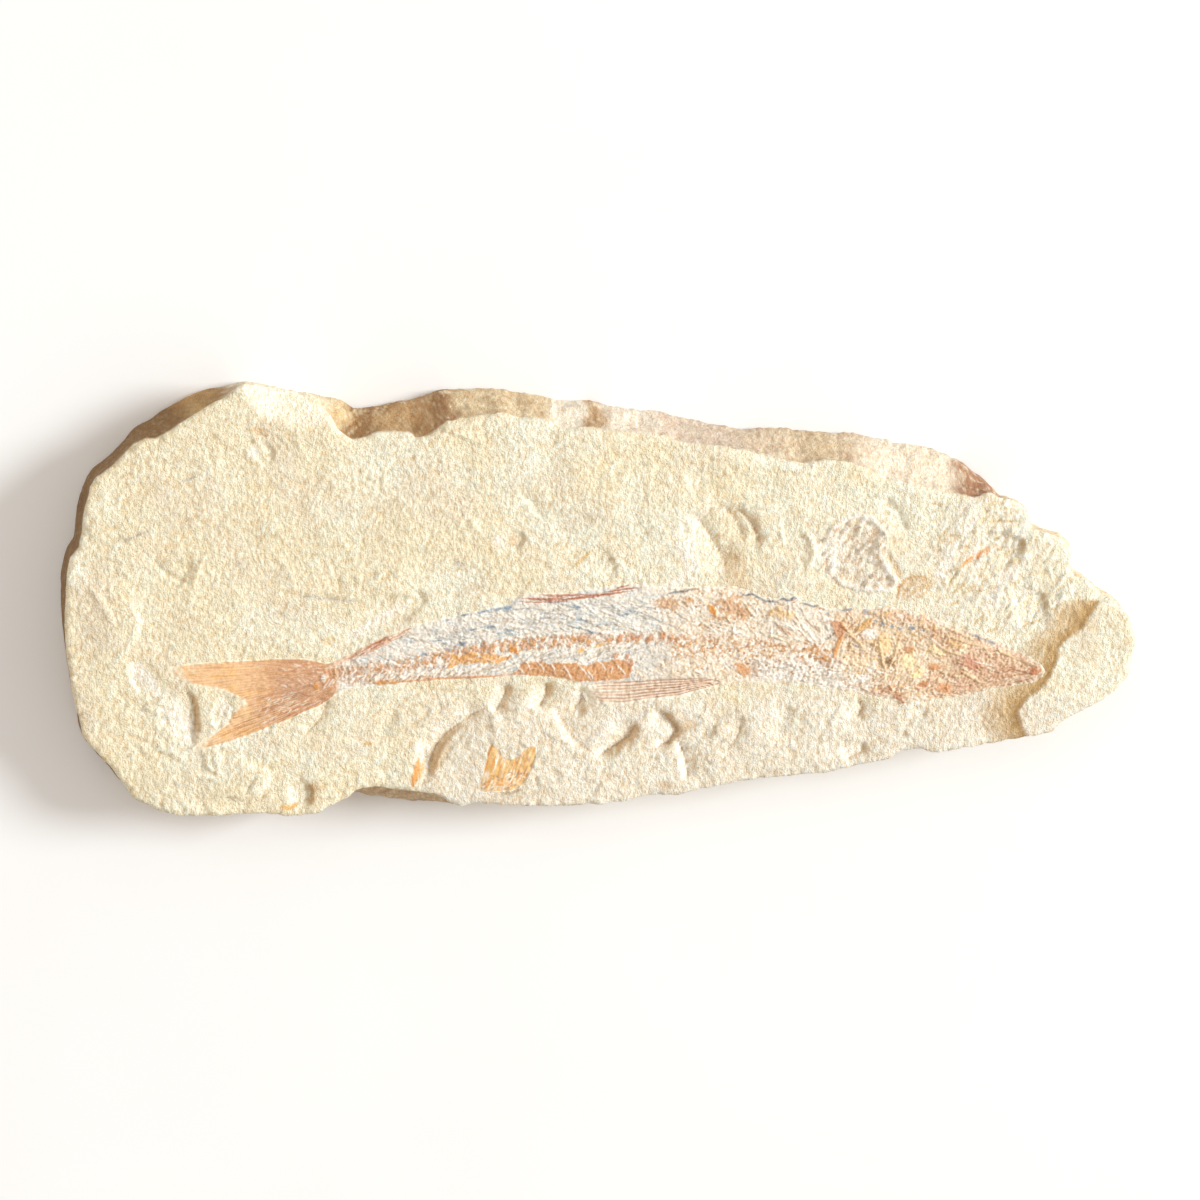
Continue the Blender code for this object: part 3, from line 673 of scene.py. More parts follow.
def ragged_edge():
    """The face's edge with its corners kept and small breaks added between them."""
    edge = resample(SLAB_EDGE, EDGE_STEP)
    shift = (0.55 - 0.3 * wall_calm(edge[:, 0])) * fractal(edge[:, 0] / 4.5, edge[:, 1] / 4.5, 101, 2)
    # The edge runs clockwise, so what points out of a counterclockwise loop points into it.
    edge[:, :2] -= outward(edge[:, :2], 3) * shift[:, None]
    return edge[::-1]


def wall_calm(x):
    """1 along the smooth fracture at the upper left, 0 along the rough walls."""
    square = x / SQUARE + GRID_MIDDLE[0]
    return np.maximum(smooth((255 - square) / 14), 0.55 * smooth(1.5 - abs(square - 398) / 44))


def wall_relief(x, travel, level, depth):
    """How far the broken wall stands out, from its place along the edge and its level."""
    bend = 1.4 * perlin(travel / 7, level / 9, 205)
    scars = cells((travel + bend) / 9, level / 8 + 0.6 * perlin(travel / 6, level / 9, 206), 201)
    chips = cells(travel / 2.4 + bend / 3, level / 5.0, 203)
    rough = 1.1 * (scars[0] - 0.5) + 0.35 * (chips[0] - 0.4)
    rough += 0.45 * fractal(travel / 2.6, level / 3.0, 204, 3) + 0.7 * perlin(travel / 15, level / 3.6, 209)
    sweep = 0.9 * perlin(travel / 24, level / 15, 207) + 0.10 * fractal(travel / 3.0, level / 8, 208, 2)
    calm = wall_calm(x)
    return (rough * (1 - calm) + sweep * calm) * smooth(depth / 2.2)


# The walls' colours, partly the stone's stains and partly painted shade and highlight for how each stretch
# faces the light: the square across the drawing grid, then red, green and blue, 0 to 255.
UPPER_WALL = (
    (60, 146, 120, 90), (120, 148, 120, 88), (185, 150, 120, 84), (200, 200, 170, 122),
    (225, 170, 138, 98), (246, 250, 246, 228), (318, 250, 244, 224), (338, 236, 214, 170),
    (350, 176, 142, 102), (368, 170, 136, 98), (392, 206, 176, 134), (428, 190, 156, 116),
    (450, 168, 132, 98), (462, 222, 204, 170), (545, 226, 208, 176), (556, 252, 250, 240),
    (576, 250, 246, 234), (586, 196, 166, 130), (600, 204, 176, 142), (612, 250, 245, 234),
    (645, 245, 238, 226), (665, 228, 214, 200), (720, 222, 208, 194), (820, 224, 206, 176),
    (850, 222, 206, 184), (880, 247, 241, 228), (945, 245, 238, 222), (962, 182, 144, 118),
    (990, 180, 142, 116), (1020, 236, 224, 198), (1140, 238, 224, 196),
)
LOWER_WALL = (
    (60, 150, 120, 86), (120, 140, 110, 80), (150, 200, 170, 128), (330, 206, 180, 142),
    (360, 196, 172, 142), (450, 204, 182, 150), (520, 226, 204, 166), (1140, 232, 214, 180),
)


def wall_colours(x, y, travel, level):
    """The broken walls: each stretch's colour, partly stain and partly painted shade and highlight, speckled
    with darker and paler stone.
    """
    warp = (9 + 8 * smooth((15 - level) / 8)) * fractal(travel / 7, level / 8, 411, 2)
    square = x / SQUARE + GRID_MIDDLE[0] + warp
    tone = np.empty((len(x), 3))
    for stretch, side in ((UPPER_WALL, y > WALLS_MEET), (LOWER_WALL, y <= WALLS_MEET)):
        places, *colours = np.array(stretch, float).T
        for channel, values in enumerate(paint(*colours)):
            tone[side, channel] = np.interp(square[side], places, values)
    rough = 1 - 0.8 * wall_calm(x)
    lean = travel - 0.5 * level
    speck = perlin(travel / 1.1, level / 1.9, 401) + 0.6 * fractal(lean / 3.4, level / 3.2, 402, 2)
    blend(tone, tone * paint(190, 172, 160) * 1.5, rough * 0.65 * smooth(speck * 2.0))
    blend(tone, CREAM_LIGHT, rough * 0.6 * smooth(-speck * 2.4 - 0.1))
    blend(tone, WALL_DARK, rough * 0.25 * smooth(fractal(travel / 8, level / 5, 405, 3) * 2.4 - 0.5))
    fibres = smooth(1.5 - abs(square - 394) / 50)
    blend(tone, paint(150, 112, 74), 0.5 * fibres * smooth(2.8 * perlin(lean / 1.3, level / 10, 407) - 0.1))
    blend(tone, paint(240, 222, 184), 0.6 * fibres * smooth(2.6 * perlin(lean / 1.8, level / 10, 408) - 0.3))
    lower = smooth((12 - level) / 10) * (1 - rough)
    blend(tone, paint(206, 168, 118), 0.9 * lower * smooth(2.5 - abs(square - 196) / 8))
    shade = smooth(2.4 * perlin(travel / 10, level / 22, 406) - 0.1)
    blend(tone, paint(122, 92, 66), 0.5 * shade * (1 - rough))
    return tone


def stone_colours(x, y, grain):
    """The face's colours, with painted shade in the pits of its grain and a painted highlight on its tops."""
    colour = np.tile(CREAM, (len(x), 1))
    blend(colour, CREAM_WARM, 0.6 * smooth(0.45 + 1.5 * fractal(x / 26, y / 26, 301, 3) - (x + 20) / 260))
    blend(colour, CREAM_GREY, 0.7 * smooth(0.1 + 1.8 * fractal(x / 19, y / 19, 305, 3)))
    blend(colour, CREAM_LIGHT, 0.6 * smooth(0.2 + 1.8 * fractal(x / 9, y / 9, 309, 3)))
    washed = smooth((-24 - y + 6 * fractal(x / 12, y / 12, 315, 2)) / 8) * smooth((x + 62) / 30)
    blend(colour, paint(242, 240, 234), 0.7 * washed)
    flaked = smooth(flake_depth(x, y) * 0.9 + 0.4 * fractal(x / 5, y / 5, 311, 2))
    blend(colour, FLAKE_WHITE, flaked * 0.95)
    blend(colour, paint(232, 208, 158), 0.8 * flaked * smooth(1.3 - oval_at(x, y, *FLAKE_STAIN)[0]))
    blend(colour, CHALK, 0.5 * chiselled(x, y) * smooth(0.5 + 1.6 * fractal(x / 2.5, y / 4.5, 313, 2)))
    # Painted shade in the grain's pits and painted highlight on its tops.
    blend(colour, GRAIN_SHADE, 0.6 * smooth(-grain * 1.3) * (1 - 0.8 * flaked))
    blend(colour, GRAIN_HIGHLIGHT, 0.5 * smooth(grain * 1.3))
    return colour


def limestone_slab():
    """The plate: its face, rings of wall down to the foot, and the underside."""
    edge = ragged_edge()
    x, y, quads, rim = patch(edge, STONE_STEP)
    snapped = snap_to(x[rim], y[rim], edge)
    x[rim], y[rim], reach = snapped[:, 0], snapped[:, 1], snapped[:, 2]
    grain = stone_grain(x, y)
    height = stone_height(x, y, grain)
    tilt = slope_east(height, quads, len(x))
    margin = line_distance(x, y, edge, 4.0, closed=True)[0]
    chipped = 0.35 + 0.9 * smooth(0.3 + 1.5 * fractal(x / 5, y / 5, 111, 2))
    height -= chipped * np.exp(-margin / 0.9)
    for bone_edge in (FISH_EDGE, SCRAP_EDGE):
        within = signed_distance(x, y, bone_edge)
        height -= BONE_POCKET * smooth(within / 0.9 + 0.2)
    skin = Skin(x, y, stone_colours(x, y, grain))
    # Painted shade on slopes that rise to the right, away from the light, and painted highlight on those that
    # fall towards it.
    skin.tint(SLOPE_SHADE_TAN, 0.7 * smooth(tilt * 2.2 - 0.45))
    skin.tint(CHALK, 0.7 * smooth(-tilt * 2.6 - 0.35))
    paint_stone_marks(skin)
    height += skin.relief
    colour = skin.colour

    top = np.stack([x, y, height], axis=1)
    near_out, far_out = outward(top[rim, :2], 4), outward(top[rim, :2], 26)
    reach = evened(reach, 12) + 0.9 * smooth((top[rim, 1] + 10) / 20)
    steps = np.linalg.norm(np.diff(top[rim, :2], axis=0, append=top[rim[:1], :2]), axis=1)
    travel = np.concatenate([[0], np.cumsum(steps)[:-1]])
    broad = np.stack([evened(column, 6) for column in top[rim, :2].T], axis=1)
    points, colours = [top], [colour]
    for ring in range(1, WALL_RINGS + 1):
        share = (ring / WALL_RINGS) ** RING_CROWDING
        level = height[rim] * (1 - share)
        depth = height[rim] - level
        away = near_out + (far_out - near_out) * smooth(depth / 5)[:, None]
        out = reach * smooth(share * 1.05) + wall_relief(top[rim, 0], travel, level, depth)
        out -= FOOT_TUCK * smooth((share - 0.93) * 14)
        place = top[rim, :2] + (broad - top[rim, :2]) * (0.8 * smooth(depth / 9))[:, None]
        place = place * (1 + SPREAD * depth)[:, None] + away * out[:, None]
        points.append(np.column_stack([place, level]))
        tone = wall_colours(top[rim, 0], top[rim, 1], travel, level)
        blend(tone, colour[rim], 1 - smooth(depth / 1.2))
        colours.append(tone)
    walls, foot = bands(WALL_RINGS, rim, len(top))
    faces = np.concatenate([quads, walls])
    return build("stone_plate", np.concatenate(points), faces, foot, np.concatenate(colours))


# ---- marks: thin bones, stains, scales, painted light and painted shade laid over a surface -------
WHITE_BONE = paint(252, 250, 244)
CREAM_BONE = paint(242, 231, 208)
BLUE_GREY = paint(190, 205, 213)
BLUE = paint(142, 170, 198)
SLATE = paint(102, 114, 126)
DUST_GREY = paint(206, 200, 192)
TAN = paint(227, 196, 154)
SAND = paint(218, 204, 182)
ORANGE = paint(220, 162, 106)
ORANGE_PALE = paint(236, 190, 140)
ORANGE_BRIGHT = paint(232, 164, 88)
OCHRE = paint(238, 196, 126)
BROWN = paint(190, 146, 108)
RUST = paint(190, 118, 84)
PINK_BROWN = paint(210, 168, 140)
PINK = paint(230, 198, 174)


class Skin:
    """The colours and relief that marks add to a surface. Their sizes are squares of the drawing grid."""

    def __init__(self, x, y, colour):
        self.x = x / SQUARE + GRID_MIDDLE[0]
        self.y = GRID_MIDDLE[1] - y / SQUARE
        self.colour = colour
        self.relief = np.zeros(len(x))
        self.wander_x = 0.9 * perlin(self.x / 3.1, self.y / 3.1, 501)
        self.wander_y = 0.9 * perlin(self.x / 3.1, self.y / 3.1, 502)
        self.mottle = fractal(self.x / 4.5, self.y / 4.5, 503, 3)

    def near(self, points, reach):
        """Which of the surface's points lie in the box round some places, or so far outside it."""
        low = points.min(axis=0) - reach
        high = points.max(axis=0) + reach
        return np.flatnonzero((self.x > low[0]) & (self.x < high[0]) & (self.y > low[1]) & (self.y < high[1]))

    def strayed(self, pick):
        """Where some of the points are, moved a little so that no mark has a clean edge."""
        return self.x[pick] + self.wander_x[pick], self.y[pick] + self.wander_y[pick]

    def lay(self, pick, cover, new, amount, rise):
        """Lays a paint on some of the points and raises them, by how far the mark covers each."""
        self.colour[pick] += (new - self.colour[pick]) * (cover * amount)[:, None]
        self.relief[pick] += rise * cover

    def tint(self, new, amount):
        """The same paint over the whole surface, as thickly as the amount says."""
        blend(self.colour, new, amount)

    def strokes(self, lines, *look):
        for line in lines:
            self.stroke(line, *look)

    def spots(self, places, *look):
        for place in places:
            self.spot(*place, *look)

    def stroke(self, line, half_width, new, amount=1.0, rise=0.0, soft=0.9):
        """A mark along a line, narrowing towards its ends."""
        line = np.array(line, float)
        pick = self.near(line, half_width + soft + 1)
        if not len(pick):
            return
        away, along = line_distance(*self.strayed(pick), line)
        share = along / np.hypot(*np.diff(line, axis=0).T).sum()
        narrow = np.clip(6 * share * (1 - share), 0.25, 1)
        self.lay(pick, smooth((half_width * narrow - away) / soft + 0.5), new, amount, rise)

    def patch(self, loop, new, amount=1.0, rise=0.0, soft=1.6, ragged=0.5):
        """A mark that fills a loop, with a ragged rim."""
        loop = np.array(loop, float)
        pick = self.near(loop, 4)
        within = signed_distance(*self.strayed(pick), loop)
        cover = smooth(within / soft + 0.5 + ragged * self.mottle[pick])
        self.lay(pick, cover, new, amount, rise)

    def spot(self, cx, cy, length, width, turn, new, amount=1.0, rise=0.0, ragged=0.8):
        """An oval mark, turned up to the right by so many degrees."""
        reach = max(length, width)
        pick = self.near(np.array([(cx, cy)], float), 1.6 * reach)
        away = oval(self.x[pick], -self.y[pick], cx, -cy, length, width, turn)[0]
        self.lay(pick, smooth((1.15 - away) * 1.8 + ragged * self.mottle[pick]), new, amount, rise)

    def hairs(self, loop, count, turn, spread, shortest, longest, half_width, rise, colours, seed):
        """Fine bones scattered through a loop, all lying about one way."""
        loop = np.array(loop, float)
        chance = np.random.default_rng(seed)
        low, high = loop.min(axis=0), loop.max(axis=0)
        starts = low + chance.random((count * 4, 2)) * (high - low)
        starts = starts[inside(starts[:, 0], starts[:, 1], loop)][:count]
        for place in starts:
            angle = math.radians(turn + spread * chance.normal() * 0.6)
            length = shortest + (longest - shortest) * chance.random()
            run = np.array((math.cos(angle), -math.sin(angle))) * length / 2
            bow = np.array((run[1], -run[0])) * chance.normal() * 0.12
            new = colours[int(chance.random() * len(colours))]
            width = half_width * (0.6 + 0.8 * chance.random())
            amount = 0.55 + 0.45 * chance.random()
            self.stroke((place - run, place + bow, place + run), width, new, amount, rise * chance.random())


# Slopes of the hollows that face the light, with a painted highlight, and those that face away from it,
# with painted shade: middle, half length, half width and turn.
LIT_SLOPES = (
    (146, 680, 24, 9, -52), (180, 722, 34, 11, -62), (226, 712, 16, 7, -70), (256, 452, 8, 7, 0),
    (688, 553, 32, 11, -68), (674, 584, 22, 7, 40), (500, 541, 9, 9, 0), (378, 622, 44, 6, 30),
    (606, 730, 26, 9, 45), (684, 762, 26, 6, 88), (295, 799, 10, 6, 60), (838, 560, 22, 7, 80),
    (842, 755, 20, 6, 10), (652, 728, 9, 12, 70), (149, 680, 20, 8, -50), (184, 722, 28, 10, -62),
    (948, 562, 24, 9, 62), (1004, 586, 26, 8, 60), (972, 522, 18, 7, 60),
)
SHADED_SLOPES = (
    (514, 541, 6, 7, 0), (736, 576, 34, 15, 100), (316, 790, 9, 6, 20), (691, 728, 9, 7, 0),
    (262, 432, 10, 5, -20), (670, 790, 10, 4, 0), (441, 762, 22, 5, 62),
)
FAN_SCAR = ((900, 600), (901, 587), (909, 578), (924, 576), (935, 582), (930, 592), (916, 600))
FAN_RIM = ((899, 600), (901, 588), (906, 580), (914, 576), (925, 576), (937, 582))
FAN_RAYS = (
    ((902, 601), (903, 589), (911, 580)),
    ((905, 600), (914, 588), (927, 580)),
    ((907, 601), (919, 594), (932, 588)),
)
CHISELLED_CORNER = (
    (925, 560), (960, 500), (1010, 492), (1055, 540), (1080, 580), (1040, 632), (990, 632), (950, 600),
)
ROUGH_LUMP = (
    (825, 540), (833, 527), (848, 518), (860, 514), (876, 521), (888, 536), (880, 550), (886, 566),
    (897, 580), (893, 590), (868, 589), (846, 584), (832, 574), (825, 560),
)
WHOLE_FACE = (
    (90, 620), (110, 500), (200, 430), (330, 450), (500, 425), (760, 450), (960, 510), (1060, 560),
    (1120, 640), (1100, 690), (900, 740), (700, 780), (500, 795), (300, 790), (130, 770),
)
SCRAP_SHADE = ((425, 755), (433, 752), (432, 785), (424, 788))
# Slivers of bone and hair cracks in the stone: the line, its half width in squares, its colour.
STONE_LINES = (
    (((959, 568), (975, 558), (998, 545)), 3.0, paint(240, 172, 108)),
    (((420, 761), (417, 776), (413, 790)), 3.0, paint(236, 172, 96)),
    (((424, 766), (421, 780)), 1.2, OCHRE),
    (((364, 745), (373, 746)), 1.6, OCHRE),
    (((572, 568), (582, 559), (592, 550)), 1.6, paint(228, 196, 140)),
    (((280, 810), (290, 811), (297, 808)), 2.6, OCHRE),
    (((900, 598), (902, 588), (900, 582)), 2.0, paint(232, 164, 110)),
    (((124, 542), (137, 537), (150, 531)), 1.2, DUST_GREY),
    (((183, 482), (192, 479), (200, 476)), 1.2, DUST_GREY),
    (((297, 596), (330, 599), (362, 602)), 1.2, DUST_GREY),
    (((455, 560), (465, 567)), 2.0, DUST_GREY),
)


def paint_stone_marks(skin):
    """Slivers of bone, stains and hair cracks in the stone itself, and painted shade and highlights on its
    slopes.
    """
    rim = rim_offset((skin.x - GRID_MIDDLE[0]) * SQUARE, (GRID_MIDDLE[1] - skin.y) * SQUARE)
    # Painted shade on the slope up to the higher bed's rim, darkest at the rim.
    band = np.clip(1 + rim / RIM_RUN, 0, 1) ** 0.65 * smooth(0.6 - rim / 0.8)
    skin.tint(paint(219, 185, 131), 0.95 * band)
    for line, width, colour in STONE_LINES:
        skin.stroke(line, width, colour, 0.9, 0.0, 1.6)
    skin.hairs(CHISELLED_CORNER, 190, 62, 24, 10, 38, 1.1, 0.42, (CHALK, CHALK, CREAM_LIGHT, CREAM), 21)
    # Grooves among the chiselled ridges, partly in the grain's painted shade.
    skin.hairs(CHISELLED_CORNER, 60, 30, 30, 8, 26, 1.2, -0.32, (CREAM_WARM, GRAIN_SHADE), 22)
    skin.patch(ROUGH_LUMP, paint(242, 232, 214), 0.8, 0.0, 4.0, 0.6)
    skin.hairs(ROUGH_LUMP, 120, 52, 24, 8, 24, 1.1, 0.5, (CHALK, CHALK, CHALK, paint(222, 198, 170)), 23)
    skin.hairs(ROUGH_LUMP, 60, -35, 40, 6, 18, 0.9, 0.3, (CHALK, CREAM, paint(228, 206, 180)), 24)
    skin.stroke(ROUGH_LUMP[:6], 2.4, CHALK, 1.0, 0.7, 1.8)
    skin.stroke(ROUGH_LUMP[5:], 2.2, CHALK, 1.0, 0.6, 1.8)
    skin.spot(831, 552, 17, 7, -78, CHALK, 1.0, 0.2, 0.6)
    skin.stroke(((824, 558), (830, 571), (842, 587)), 1.2, paint(214, 184, 146), 0.7, -0.2, 1.6)
    skin.stroke(((890, 552), (897, 566), (903, 580)), 2.2, paint(222, 192, 150), 0.7, -0.2, 2.4)
    skin.hairs(WHOLE_FACE, 260, 68, 26, 6, 26, 1.5, 0.30, (CREAM_LIGHT, CREAM, CREAM), 25)
    skin.spot(330, 640, 7, 5, 0, paint(232, 206, 156), 0.6)
    skin.spot(512, 795, 14, 4, 10, paint(170, 150, 122), 0.55, 0.0, 2.2)
    # Painted highlights on the hollows' slopes that face the light.
    skin.spots(LIT_SLOPES, CHALK, 0.75, 0.0, 1.0)
    # Painted shade on the slopes that face away from it.
    skin.spots(SHADED_SLOPES, SLOPE_SHADE_TAN, 0.5, 0.0, 1.4)
    # Painted shadow along the foot of each deep fold, partly a real stain.
    skin.strokes([line for line, depth, *_ in FOLDS if depth > 1], 1.0, FOLD_SHADOW_AND_STAIN, 0.6, -0.08, 1.4)
    skin.patch(FAN_SCAR, paint(230, 206, 170), 0.8, -0.15, 3.0, 0.4)
    skin.stroke(FAN_RIM, 1.5, paint(218, 184, 138), 0.8, -0.1, 1.8)
    skin.strokes(FAN_RAYS, 0.9, CHALK, 0.8, 0.35)
    skin.patch(SCRAP_SHADE, paint(214, 204, 186), 0.7)


# ---- the fish -----------------------------------------------------------------------------------
BONE_EDGE_REACH = 1.1  # how far the stone round the fish belongs to the fish's piece
SCRAP_EDGE_REACH = 0.8  # the same for the scrap
BONE_SWELL = 0.55  # how far the body stands out of the stone
BONE_LIFT = 0.07  # how far the fish's piece lies above the stone's own surface
SCRAP_SWELL = 0.4
SCRAP_LIFT = 0.05
TAIL_APEX = (412.0, 663.0)  # where the tail's rays would meet
TAIL_TURNS = (0.018, 0.415)  # fall of the tail's upper and lower edge, for each square to the left
TAIL_RAYS = 26
PELVIC_TOP = ((585, 685), (600, 683.5), (640, 681.5), (668, 679.5), (700, 679), (725, 682.5))
PELVIC_FOOT = ((585, 700), (600, 704), (625, 705), (645, 701.5), (680, 697.5), (700, 691.5), (725, 685))
PELVIC_RAYS = 7
# The row of scutes: its middle line, how far they reach along it and how strongly they show.
MIDLINE = (
    (335, 676), (360, 673), (385, 669), (420, 662), (450, 655), (500, 646), (560, 641), (620, 638),
    (700, 640), (760, 645), (800, 650), (832, 659),
)
SCUTE_PITCH = 9.8
SCUTE_LEAN = 0.42
SCUTE_REACH = ((335, 12.0), (385, 8.5), (450, 8.0), (500, 7.0), (600, 6.5), (640, 5.5), (832, 4.0))
SCUTE_STRENGTH = ((335, 0.7), (430, 0.95), (600, 0.95), (640, 0.75), (700, 0.35), (832, 0.3))

# Regions of the body and the head that are drawn in one way.
BACK_ZONE = (
    (345, 664), (400, 636), (450, 622), (520, 606), (600, 600), (655, 600), (662, 632), (560, 634),
    (480, 644), (400, 664), (352, 673),
)
FRONT_ZONE = (
    (655, 598), (740, 594), (800, 604), (842, 622), (838, 650), (780, 640), (700, 634), (655, 632),
)
BAND_ZONE = ((452, 672), (520, 655), (590, 648), (640, 645), (640, 660), (520, 664), (505, 676), (455, 679))
LOW_ZONE = ((632, 656), (700, 655), (740, 658), (742, 680), (690, 678), (632, 680))
THROAT_ZONE = ((755, 662), (800, 656), (885, 664), (886, 690), (860, 694), (800, 683), (755, 682))
SHOULDER_ZONE = ((768, 612), (800, 606), (836, 620), (834, 646), (800, 642), (768, 628))
HEAD_ZONE = (
    (838, 615), (890, 609), (935, 622), (965, 640), (965, 690), (905, 700), (880, 690), (842, 662),
)
UPPER_SNOUT = ((935, 628), (980, 640), (1040, 666), (1030, 674), (960, 668), (930, 650))
LOWER_SNOUT = ((930, 675), (1000, 665), (1044, 672), (1036, 681), (985, 692), (935, 701))

TAIL_TOP = ((250, 666), (312, 664), (332, 674), (322, 690), (270, 686))
TAIL_FOOT = ((248, 702), (290, 690), (328, 690), (318, 706), (262, 728))
ROW_UNDER_SCUTES = ((350, 685), (355, 676), (400, 670), (450, 666), (452, 677), (420, 680), (380, 684))
ORANGE_BAR = (
    (448, 669), (451, 655), (462, 657), (470, 652), (480, 655), (490, 654), (500, 655),
    (513, 657.5), (506, 661), (498, 664), (480, 663), (468, 665), (460, 664), (452, 669),
)
LOWER_STRIP = (
    (512, 675), (519, 670), (524, 662), (533, 663), (541, 662), (549, 665), (557, 663), (566, 664),
    (576, 663), (587, 666), (598, 662), (608, 662), (619, 660), (629, 662), (633, 668), (631, 679),
    (618, 681), (600, 682), (580, 682.5), (566, 679.5), (550, 677), (530, 676.5),
)
STRIP_TICKS = (
    (518, 668, 525, 675), (525, 660, 531, 670), (538, 662, 545, 672), (551, 664, 556, 673),
    (564, 666, 573, 681), (578, 664, 592, 681), (588, 671, 594, 681), (600, 662, 607, 672),
    (612, 674, 613, 667), (617, 665, 627, 677),
)
BACK_BAND = (
    (333, 667), (350, 661), (368, 653), (390, 643), (417, 626.5), (408, 629.5), (390, 636),
    (372, 643), (352, 654), (336, 662),
)
BELLY_LINE = (
    (362, 684.5), (382, 683.5), (403, 682), (425, 680.5), (450, 678.8), (485, 677.5), (516, 675.5),
)

# Mixes of small grains: what share of them takes which colour.
FRONT_MIX = ((0.34, WHITE_BONE), (0.14, CREAM_BONE), (0.16, TAN), (0.14, BROWN), (0.07, DUST_GREY))
BACK_MIX = ((0.40, WHITE_BONE), (0.25, DUST_GREY), (0.12, BLUE_GREY), (0.08, TAN))
THROAT_MIX = ((0.52, WHITE_BONE), (0.16, DUST_GREY), (0.08, SAND), (0.06, BROWN))
ROW_MIX = (
    (0.28, WHITE_BONE), (0.12, CREAM_BONE), (0.13, ORANGE), (0.16, paint(212, 166, 116)),
    (0.20, BROWN),
)
HEAD_MIX = (
    (0.20, WHITE_BONE), (0.22, CREAM_BONE), (0.14, TAN), (0.12, PINK_BROWN), (0.08, BROWN),
    (0.08, OCHRE),
)
SNOUT_MIX = ((0.12, CREAM_BONE), (0.26, PINK), (0.22, PINK_BROWN), (0.12, BROWN), (0.08, TAN))

# Single bones: middle, half length, half width, turn, colour, amount, rise and, in some, raggedness.
ROW_SPOTS = (
    (514.5, 650, 6, 4, -30, ORANGE_BRIGHT, 0.95, 0.22),
    (581.5, 650.5, 4, 2.4, 20, OCHRE, 0.95, 0.18),
    (601, 645, 6, 2.2, 25, OCHRE, 0.8, 0.12),
    (317, 688, 3, 4.5, 0, ORANGE_BRIGHT, 0.9, 0.15),
    (325, 678.5, 3.2, 5.2, -20, WHITE_BONE, 0.95, 0.25),
    (309, 687, 7, 2.2, 20, paint(170, 132, 100), 0.6, -0.1),
)
# The same for the front of the body.
FRONT_SPOTS = (
    (713, 610, 8, 3.4, -48, ORANGE_BRIGHT, 0.95, 0.3),
    (783, 613, 15, 5.5, -12, paint(238, 204, 152), 0.8, 0.2, 1.8),
    (745, 670, 10, 6, -35, paint(222, 168, 122), 0.9, 0.14, 1.0),
    (757, 671, 7, 5, -40, BROWN, 0.55, 0.14, 1.6),
    (820, 652, 14, 6, -20, paint(208, 160, 118), 0.8, 0.16, 2.2),
    (828, 661, 8, 6, -30, BROWN, 0.7, 0.1, 1.5),
)
# The same for the stains of the head.
HEAD_STAINS = (
    (886, 690, 15, 8, 20, paint(226, 180, 154), 0.85, 0.05, 0.8),
    (904, 698, 8, 6, -40, paint(206, 146, 112), 0.85, 0.05, 0.8),
    (900, 617, 22, 6, -12, paint(228, 190, 164), 0.8, 0.05, 1.2),
    (930, 617, 12, 5, -20, paint(224, 180, 152), 0.7, 0.05, 1.2),
)
# Middle, half length, half width and turn alone.
SCUTE_SPOTS = (
    (621, 638, 3.4, 4.2, 0), (636, 638, 4, 3, 20), (650, 639, 4, 3.4, -30), (664, 635, 4.4, 4.2, 40),
    (675, 639, 4, 2.6, 0), (632, 665, 2.2, 6, -10), (617, 656, 3, 3, 0), (628, 656, 2.4, 3.4, 0),
)
BACK_STAINS = (
    (668, 604, 12, 8, 10), (690, 600, 6, 4, 0), (732, 606, 16, 12, -30), (744, 612, 6, 8, 0),
    (722, 618, 8, 3, 0),
)
# The bones of the head, each with its colour.
HEAD_SPOTS = (
    (911, 662, 10, 9, 0, paint(252, 238, 196)), (921, 674, 8, 5, 30, paint(252, 236, 190)),
    (966, 649, 4, 6, -10, paint(254, 248, 222)), (874, 668, 5, 7, 0, WHITE_BONE),
    (866, 679, 11, 5, 10, WHITE_BONE), (872, 634, 9, 6, -10, paint(250, 248, 244)),
    (893, 662, 5, 6, 50, paint(160, 126, 92)), (912, 650, 6, 4, 0, paint(214, 158, 114)),
    (937, 668, 8, 4, 0, paint(216, 158, 112)), (949, 690, 8, 6, 0, paint(236, 178, 134)),
    (926, 686, 7, 3.4, 30, paint(206, 142, 96)), (940, 652, 9, 4, -30, paint(250, 232, 190)),
    (860, 663, 14, 7, -10, paint(248, 232, 204)), (888, 645, 10, 12, 0, paint(244, 216, 170)),
    (958, 644, 12, 3.4, -26, paint(240, 208, 160)), (942, 622, 9, 4, -26, paint(250, 236, 222)),
    (1040, 671, 6, 5, 0, paint(214, 148, 108)), (975, 664, 12, 6, -20, paint(216, 160, 136)),
)
# Blue-grey patches along the back: middle, half length, half width and turn.
BLUE_SPOTS = (
    (449, 620, 5, 1.2, 15), (464, 615.5, 6, 1.2, 15), (482, 612, 6, 1.3, 15), (497, 609.5, 7, 2.0, 15),
    (508, 608, 4.5, 2.6, 10), (461, 643, 6.5, 2.8, -12), (473, 629.5, 5, 1.6, 15), (492, 627, 7, 1.3, 0),
    (510, 630, 9, 1.4, -10), (546, 618, 6, 1.2, 0), (578, 607, 6, 1.5, 0), (583, 620, 7, 1.6, -15),
    (592, 633, 5, 1.4, 0), (563, 619, 6, 1.0, -15), (626, 614, 6, 1.4, 10), (424, 655, 4, 1.8, 0),
    (448, 650, 5, 1.2, -20), (437, 641, 5, 1.2, 0), (878, 621, 3.4, 1.6, -20), (885, 624, 3, 1.8, -20),
    (894, 627, 4, 1.6, -10), (903, 629, 3, 1.4, 0), (914, 628, 3, 2.6, 30), (926, 631, 3.6, 1.3, -10),
    (858, 646, 4, 1.4, -30), (849, 610, 5, 1.4, 8), (868, 613, 2.4, 2.8, 30), (980, 637, 7, 1.3, -24),
    (996, 644, 7, 1.4, -24), (829, 614, 4, 1.3, -40),
)
